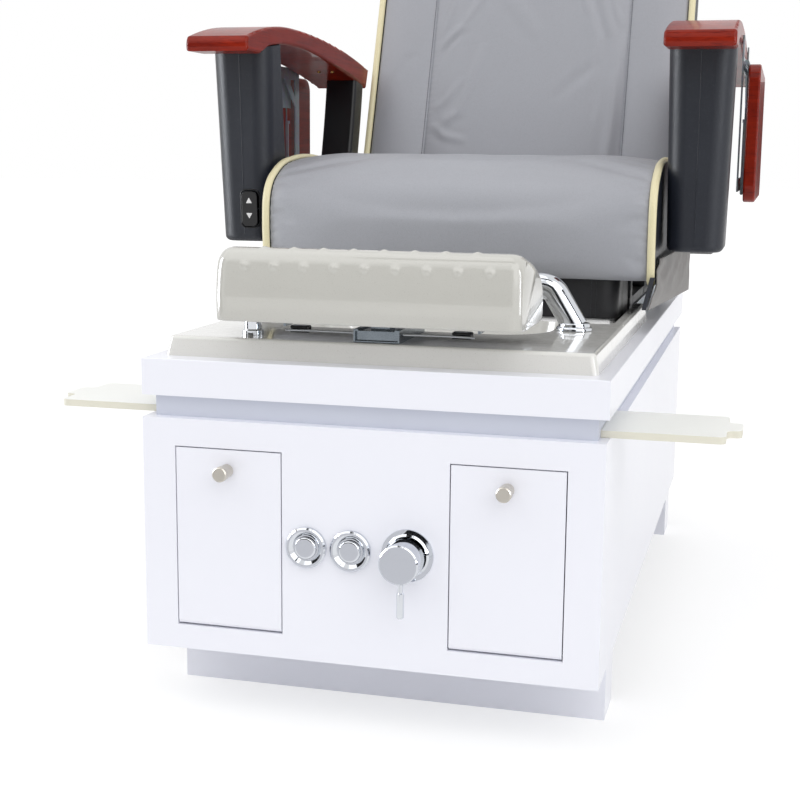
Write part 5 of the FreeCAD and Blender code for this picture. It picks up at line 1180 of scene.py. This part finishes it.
# %% [markdown]
# ## Back piping and boxing
# The edge of the back is a boxed strip of black leatherette between the shell and a cream piping.
# Both follow one outline with round top corners, so a section is carried round that outline.


# %% Back piping and boxing
BACK_FOOT_ROUND = 0.030


def back_loop(inset, v, count):
    """Even points round the back's outline, inset, at height v in the lying frame."""
    u = BACK_END - BACK_ROUND
    turn = np.linspace(0, np.pi / 2, 24)
    radius = BACK_ROUND - inset
    foot = BACK_FOOT_ROUND - inset
    low = BACK_START + inset + foot
    half = BACK_HALF - inset
    right_top = np.stack([BACK_HALF - BACK_ROUND + radius * np.cos(turn), u + radius * np.sin(turn)], 1)
    right_low = np.stack([half - foot + foot * np.sin(turn), low - foot * np.cos(turn)], 1)
    one = np.concatenate([right_low, right_top])
    other = one[::-1] * (-1, 1)
    line = even_points(np.concatenate([one, other, one[:1]]), count, True)
    return np.column_stack([line, np.full(count, v)])


def make_back_trim(name, inset, v, count, section, slot, angle):
    """A section carried round the outline, inset, at height v, and stood up with the back."""
    path = back_loop(inset, v, count)
    out = np.column_stack([outward(path[:, :2]), np.zeros(count)])
    rise = np.tile((0.0, 0.0, 1.0), (count, 1))
    points, faces = carried(path, out, rise, section, True)
    return add_mesh(name, stand_up(points), faces, "back", slot, angle)


BACK_RING = ring(14, 0.0059, 0.0054)
BOXING = np.array([(0.0105, -0.0155), (0.0112, -0.0155), (0.0085, 0.003), (0.0105, 0.0245),
                   (0.0040, 0.0245), (0.0002, -0.0150)])

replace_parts(make_back_trim("back_welt", 0.0061, 0.0275, 420, BACK_RING, "cream_piping", 70.0),
            "back_piping")
make_back_trim("back_boxing", 0.0113, 0.0, 300, BOXING, "black_leather", 40.0)

# %% [markdown]
# ## Skirt and side covers
# Loose leatherette hides the sliding frame: a black skirt under the front of the seat, and grey
# covers at both sides. They could be simulated, but they barely move, so they hang in soft folds
# that a few sine waves of different length give. Solidify then makes the sheet a wall.

# %% Skirt
SKIRT_HALF, SKIRT_FRONT, SKIRT_REAR, SKIRT_CORNER = 0.2425, -0.1165, 0.012, 0.025
SKIRT_FOOT, SKIRT_TOP = 0.4685, 0.5312
SKIRT_RUN, SKIRT_WAVE, SKIRT_SINK, SKIRT_WALL = 0.77, 0.0010, 0.0005, 0.002


def walled(piece, thick):
    """Gives a sheet a wall of this thickness, half to either side."""
    wall = piece.modifiers.new("wall", "SOLIDIFY")
    wall.thickness = thick
    wall.offset = 0.0
    return piece


def make_skirt():
    """A sheet carried round a U, wavy at its foot: offset = depth times sines of the run."""
    turn = np.linspace(0, np.pi / 2, 10)
    corner = np.stack([SKIRT_HALF - SKIRT_CORNER + SKIRT_CORNER * np.cos(-turn),
                       SKIRT_FRONT + SKIRT_CORNER + SKIRT_CORNER * np.sin(-turn)], 1)
    right_side = np.concatenate([[(SKIRT_HALF, SKIRT_REAR)], corner])
    line = even_points(np.concatenate([right_side, right_side[::-1] * (-1, 1)]), 260)
    along = np.gradient(line, axis=0)
    normal = unit(np.stack([-along[:, 1], along[:, 0]], 1))
    normal *= np.sign(np.sum(normal * (line - (0, 0.2)), 1))[:, None]
    run = np.linspace(0, SKIRT_RUN, len(line))
    z = np.linspace(SKIRT_FOOT, SKIRT_TOP, 24)
    low = ((z[-1] - z) / (z[-1] - z[0]))[:, None]
    wave = (np.sin(run * 46) + 0.6 * np.sin(run * 103 + 1.1) + 0.3 * np.sin(run * 211 + 0.4))[None, :]
    push = SKIRT_WAVE * low * wave - SKIRT_SINK
    flat = line[None] + push[..., None] * normal[None]
    points = np.concatenate([flat, np.broadcast_to(z[:, None, None], (*flat.shape[:2], 1))], 2)
    piece = add_mesh("seat_skirt_cover", points, grid_faces(24, len(line), False), "seat",
                     "black_leather")
    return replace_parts(walled(piece, SKIRT_WALL), "seat_skirt")


skirt = make_skirt()

# %% Side covers
COVER_X, COVER_FRONT, COVER_LONG = 0.3015, -0.1605, 0.4235
COVER_TOP, COVER_FOOT = 0.5590, 0.4880
COVER_RAKE, COVER_DROP = 0.033, 0.007  # how the front edge leans, and the foot falls rearwards
COVER_FLARE, COVER_TUCK = 0.018, 0.011  # out at the rear, and in at the front's foot
COVER_FOLD, COVER_WALL = 0.0016, 0.0016


def make_side_cover(side, name):
    """A hanging sheet between a top and a bottom edge: straight rows, pushed out by slow folds."""
    run = np.linspace(0, 1, 110)[None, :]
    drop = np.linspace(0, 1, 40)[:, None]
    y = COVER_FRONT + COVER_RAKE * (1 - drop) * (1 - run) + COVER_LONG * run
    z = COVER_TOP - drop * (COVER_TOP - (COVER_FOOT - COVER_DROP * run))
    x = COVER_X + COVER_FLARE * run - COVER_TUCK * drop ** 2 * (1 - run)
    fold = (0.5 * np.sin(22 * run + 5 * drop) + 0.35 * np.sin(41 * run - 9 * drop + 1.3)
            + 0.2 * np.sin(14 * drop + 30 * run ** 2))
    near_front = np.exp(-(run / 0.16) ** 2)
    fold = fold * (1 + 1.2 * near_front) - 2.2 * near_front * np.exp(-((drop - 0.20 - run) / 0.10) ** 2)
    x = x + COVER_FOLD * fold * np.sin(np.pi * np.clip(drop * 1.2, 0, 1)) ** 0.5
    points = np.stack(np.broadcast_arrays(side * x, y, z), -1)
    # The covers take the duller leatherette that is also darkened as painted shade.
    piece = add_mesh(name, points, grid_faces(40, 110, False), "seat", "grey_leather",
                     finish=OWN_FINISH["cover"])
    return walled(piece, COVER_WALL)


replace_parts(make_side_cover(1, "side_cover_right"), "side_covers")
make_side_cover(-1, "side_cover_left")

# %% [markdown]
# ## Small parts
# Screws, a printed arrow, a moulded part line or a seam are tiny, but they tell the eye how large
# and how finished a thing is. Each is laid on the surface that a straight line from the front or
# from below meets first, so it sits on the part whatever its slope.


# %% Small shapes
def turned(name, spot, axis, profile, body, slot, finish=None, stretch=(1.0, 1.0), count=28):
    """A profile of (radius, height) turned about an axis from a spot; both ends are closed."""
    axis = unit(np.array(axis, float))
    side = unit(np.cross(axis, (0.0, 0.0, 1.0) if abs(axis[2]) < 0.9 else (0.0, 1.0, 0.0)))
    rise = np.cross(axis, side)
    turn = np.linspace(0, 2 * np.pi, count, endpoint=False)
    circle = stretch[0] * np.cos(turn)[:, None] * side + stretch[1] * np.sin(turn)[:, None] * rise
    profile = np.array(profile, float)
    points = np.array(spot) + profile[:, :1, None] * circle[None] + profile[:, 1:, None] * axis
    return add_mesh(name, points, tube_faces(len(profile), count), body, slot, 50.0, finish)


def slab_of(name, outline, lift, body, slot, finish=None):
    """A closed outline raised along lift, its top drawn in a little for a soft edge."""
    outline = np.array(outline, float)
    middle = outline.mean(0)
    lift = np.array(lift, float)
    edge = 1 - 0.12 * np.linalg.norm(lift) / np.linalg.norm(outline - middle, axis=1).mean()
    rings = [outline, outline + 0.8 * lift, middle + edge * (outline - middle) + lift]
    return add_mesh(name, np.concatenate(rings), tube_faces(3, len(outline)), body, slot, 50.0, finish)


def laid_line(name, spots, normals, section, closed, body, slot, angle):
    """A thin raised line through spots on a surface, its section set across and along the normals."""
    along = np.roll(spots, -1, 0) - np.roll(spots, 1, 0) if closed else np.gradient(spots, axis=0)
    across = unit(np.cross(unit(along), normals))
    points, faces = carried(spots, across, normals, section, closed)
    return add_mesh(name, points, faces, body, slot, angle)


def rounded_frame(x, z, half_x, half_z, corner, count):
    """Even points round a rectangle with round corners, as (x, z)."""
    turn = np.linspace(0, np.pi / 2, 9)
    parts = []
    for k, (sx, sz) in enumerate([(1, 1), (-1, 1), (-1, -1), (1, -1)]):
        angle = turn + k * np.pi / 2
        parts.append(np.stack([x + sx * (half_x - corner) + corner * np.cos(angle),
                               z + sz * (half_z - corner) + corner * np.sin(angle)], 1))
    line = np.concatenate(parts)
    return even_points(np.concatenate([line, line[:1]]), count, True)


# %% [markdown]
# ## Arm switch
# The left column carries a rocker for the seat, with an arrow up and an arrow down in a thin rim.
# A picture on the rocker could show the arrows. Here they are thin printed plates, so they keep
# their edge close to, and the rim is an oval laid round the rocker.

# %% Arm switch
BEHIND = (0.0, 1.0, 0.0)
SWITCH_X, SWITCH_Z = -0.336, 0.6172
ARROW_X, ARROW_SIZE = -0.3365, 0.0052
PRINT_SINK, PRINT_HIGH = 0.0002, 0.0004


def on_front(node, spots):
    """Places on the front of a node: lines from well before the bench towards +Y at each (x, z)."""
    return touch(frame["nodes"][node], [(x, -0.7, z) for x, z in spots], BEHIND)


def make_arrow(name, z, way):
    """A printed triangle with round corners on the rocker; way is 1 for up and -1 for down."""
    tip = np.radians(90 * way + np.array([0, 120, 240]))[:, None]
    turn = tip + np.linspace(-0.5, 0.5, 4)[None, :]
    flat = np.stack([ARROW_X + ARROW_SIZE * (0.9 * np.cos(tip) + 0.12 * np.cos(turn)),
                     z + ARROW_SIZE * (0.9 * np.sin(tip) + 0.12 * np.sin(turn))], -1).reshape(-1, 2)
    spots, normals = on_front("switch_rocker", flat)
    return slab_of(name, spots - PRINT_SINK * normals, PRINT_HIGH * normals.mean(0), "rocker",
                   "black_gloss", OWN_FINISH["mark"])


make_arrow("arrow_up", 0.6285, 1)
make_arrow("arrow_down", 0.6075, -1)
rim = rounded_frame(SWITCH_X, SWITCH_Z, half_x=0.0150, half_z=0.0292, corner=0.0080, count=90)
laid_line("switch_bezel", *on_front("column_left", rim), ring(8, 0.0011, 0.0013), True, "arm_left",
          "black_gloss", 60.0)

# %% [markdown]
# ## Part lines and screws
# Each column is moulded in two halves, which leaves a fine raised line down its front. The wooden
# tops are held from below by round-headed screws. A screw is a profile turned about its axis.

# %% Part lines and screws
PART_X = 0.3465
PART_RUN = (0.862, 0.578)
SCREW = [(0.0036, 0.0), (0.0038, 0.0004), (0.0032, 0.0012), (0.0020, 0.0017), (0.0013, 0.0018),
         (0.0011, 0.0009)]
SCREW_SPOTS = ((0.322, 0.284), (0.347, 0.284), (0.335, -0.118), (0.360, -0.118))
SCREW_SINK = 0.0002
SIDES = (("left", -1), ("right", 1))

for side, way in SIDES:
    line = [(way * PART_X, z) for z in np.linspace(*PART_RUN, 60)]
    laid_line("part_line_" + side, *on_front("column_" + side, line), ring(6, 0.0006, 0.0005), False,
              "arm_" + side, "black_plastic", 70.0)
for side, way in SIDES:
    for number, (x, y) in enumerate(SCREW_SPOTS, 1):
        spots, normals = touch(frame["nodes"]["arm_top_" + side], [(way * x, y, 0.70)], (0, 0, 1))
        turned(f"pad_screw_{side}_{number}", spots[0] - SCREW_SINK * normals[0], normals[0],
               SCREW, "arm_" + side, "brushed_nickel", OWN_FINISH["brass"])

# %% [markdown]
# ## Under the foot rest
# Two thin rods run from the slide to the sides of the foot rest, each with a dark clip. They only
# peep out below it, so a round section along a nearly straight path and a raised outline do.

# %% Under the foot rest
ROD_Y, ROD_Z, ROD_THICK = -0.535, 0.4868, 0.0016
ROD_RUN, ROD_BOW = (0.0300, 0.1200), 0.0006
CLIP_X, CLIP_Y, CLIP_Z, CLIP_HIGH = 0.103, -0.527, 0.4845, 0.0082


def make_rod(side, way):
    """A thin rod with a slight bow, and a clip at its end."""
    path = np.stack([way * np.linspace(*ROD_RUN, 24), np.full(24, ROD_Y),
                     ROD_Z + ROD_BOW * np.sin(np.linspace(0, 3, 24))], 1)
    rise = np.tile((0.0, 0.0, 1.0), (24, 1))
    front = np.tile((0.0, 1.0, 0.0), (24, 1))
    points, faces = carried(path, front, rise, ring(10, ROD_THICK, ROD_THICK), False)
    add_mesh("rest_rod_" + side, points, faces, "rest_carriage", "chrome", 60.0)
    flat = rounded_frame(way * CLIP_X, CLIP_Y, half_x=0.012, half_z=0.008, corner=0.002, count=28)
    outline = np.column_stack([flat, np.full(28, CLIP_Z)])
    slab_of("rest_clip_" + side, outline, (0, 0, CLIP_HIGH), "rest_carriage", "black_gloss")


for side, way in SIDES:
    make_rod(side, way)

# %% [markdown]
# ## Spout
# The spout is a chromed tube that leans over the basin and turns down in one tight bend. It is a
# ring carried along that line and a little way back inside the mouth, which gives the tube's wall.
# The flange at its foot is a profile turned about the upright, slightly oval.

# %% Spout
SPOUT_Y = -0.338
SPOUT_FOOT = np.array((0.2125, 0.4815))
SPOUT_LEAN = math.radians(31.4)
SPOUT_RISE = 0.0485
SPOUT_BEND = 0.024
SPOUT_TURN = math.radians(125)
SPOUT_END = 0.014
SPOUT_RADIUS = 0.0170
SPOUT_WALL = 0.0024
INSIDE_STEPS = 12
FLANGE = [(0.0200, -0.0002), (0.0222, 0.0004), (0.0223, 0.0030), (0.0212, 0.0044), (0.0196, 0.0052),
          (0.0192, 0.0090), (0.0186, 0.0100), (0.0175, 0.0102)]


def make_spout_tube():
    """A leaning run, an arc and a short end in x and z; a ring is carried out and back inside."""
    up_way = np.array((-math.sin(SPOUT_LEAN), math.cos(SPOUT_LEAN)))
    first = SPOUT_FOOT + up_way * np.linspace(0, SPOUT_RISE, 14)[:, None]
    heart = first[-1] + SPOUT_BEND * np.array((-up_way[1], up_way[0]))
    turn = SPOUT_LEAN + np.linspace(0, SPOUT_TURN, 26)[1:]
    second = heart + SPOUT_BEND * np.stack([np.cos(turn), np.sin(turn)], 1)
    last_way = np.array((-math.sin(turn[-1]), math.cos(turn[-1])))
    third = second[-1] + last_way * np.linspace(0, SPOUT_END, 6)[1:, None]
    line = np.concatenate([first, second, third])
    way = unit(np.gradient(line, axis=0))
    line = np.concatenate([line, line[::-1][:INSIDE_STEPS]])
    way = np.concatenate([way, way[::-1][:INSIDE_STEPS]])
    wide = np.full(len(line), SPOUT_RADIUS)
    wide[-INSIDE_STEPS:] = SPOUT_RADIUS - SPOUT_WALL
    turn = np.linspace(0, 2 * np.pi, 40, endpoint=False)
    path = np.column_stack([line[:, 0], np.full(len(line), SPOUT_Y), line[:, 1]])
    out = np.column_stack([way[:, 1], np.zeros(len(way)), -way[:, 0]])
    circle = np.cos(turn)[None, :, None] * out[:, None] + np.sin(turn)[None, :, None] * np.array(BEHIND)
    points = path[:, None] + wide[:, None, None] * circle
    return add_mesh("spout_tube", points, tube_faces(*points.shape[:2]), "spout_arm", "chrome", 50.0)


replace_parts(make_spout_tube(), "spout")
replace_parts(turned("spout_flange", (0.2110, SPOUT_Y, 0.4772), (0, 0, 1), FLANGE, "cabinet", "chrome",
                   stretch=(1.06, 0.97), count=56), "spout_base")

# %% [markdown]
# ## Skirt seam
# The skirt is closed by a double seam near its right end. Its stitches are the same spindles as on
# the back, shot at the skirt's front from before the bench.

# %% Skirt seam
SEAM_COLUMNS = (0.2040, 0.2110)
SEAM_RUN, SEAM_PITCH = (0.4720, 0.5290), 0.0040

starts = [(x, -0.3, z) for x in SEAM_COLUMNS for z in np.arange(*SEAM_RUN, SEAM_PITCH)]
threads("skirt_stitches", *touch(skirt, starts, BEHIND), (0.0, 0.0, 1.0), long=0.0030, thick=0.0004,
        body="seat", slot="black_plastic")
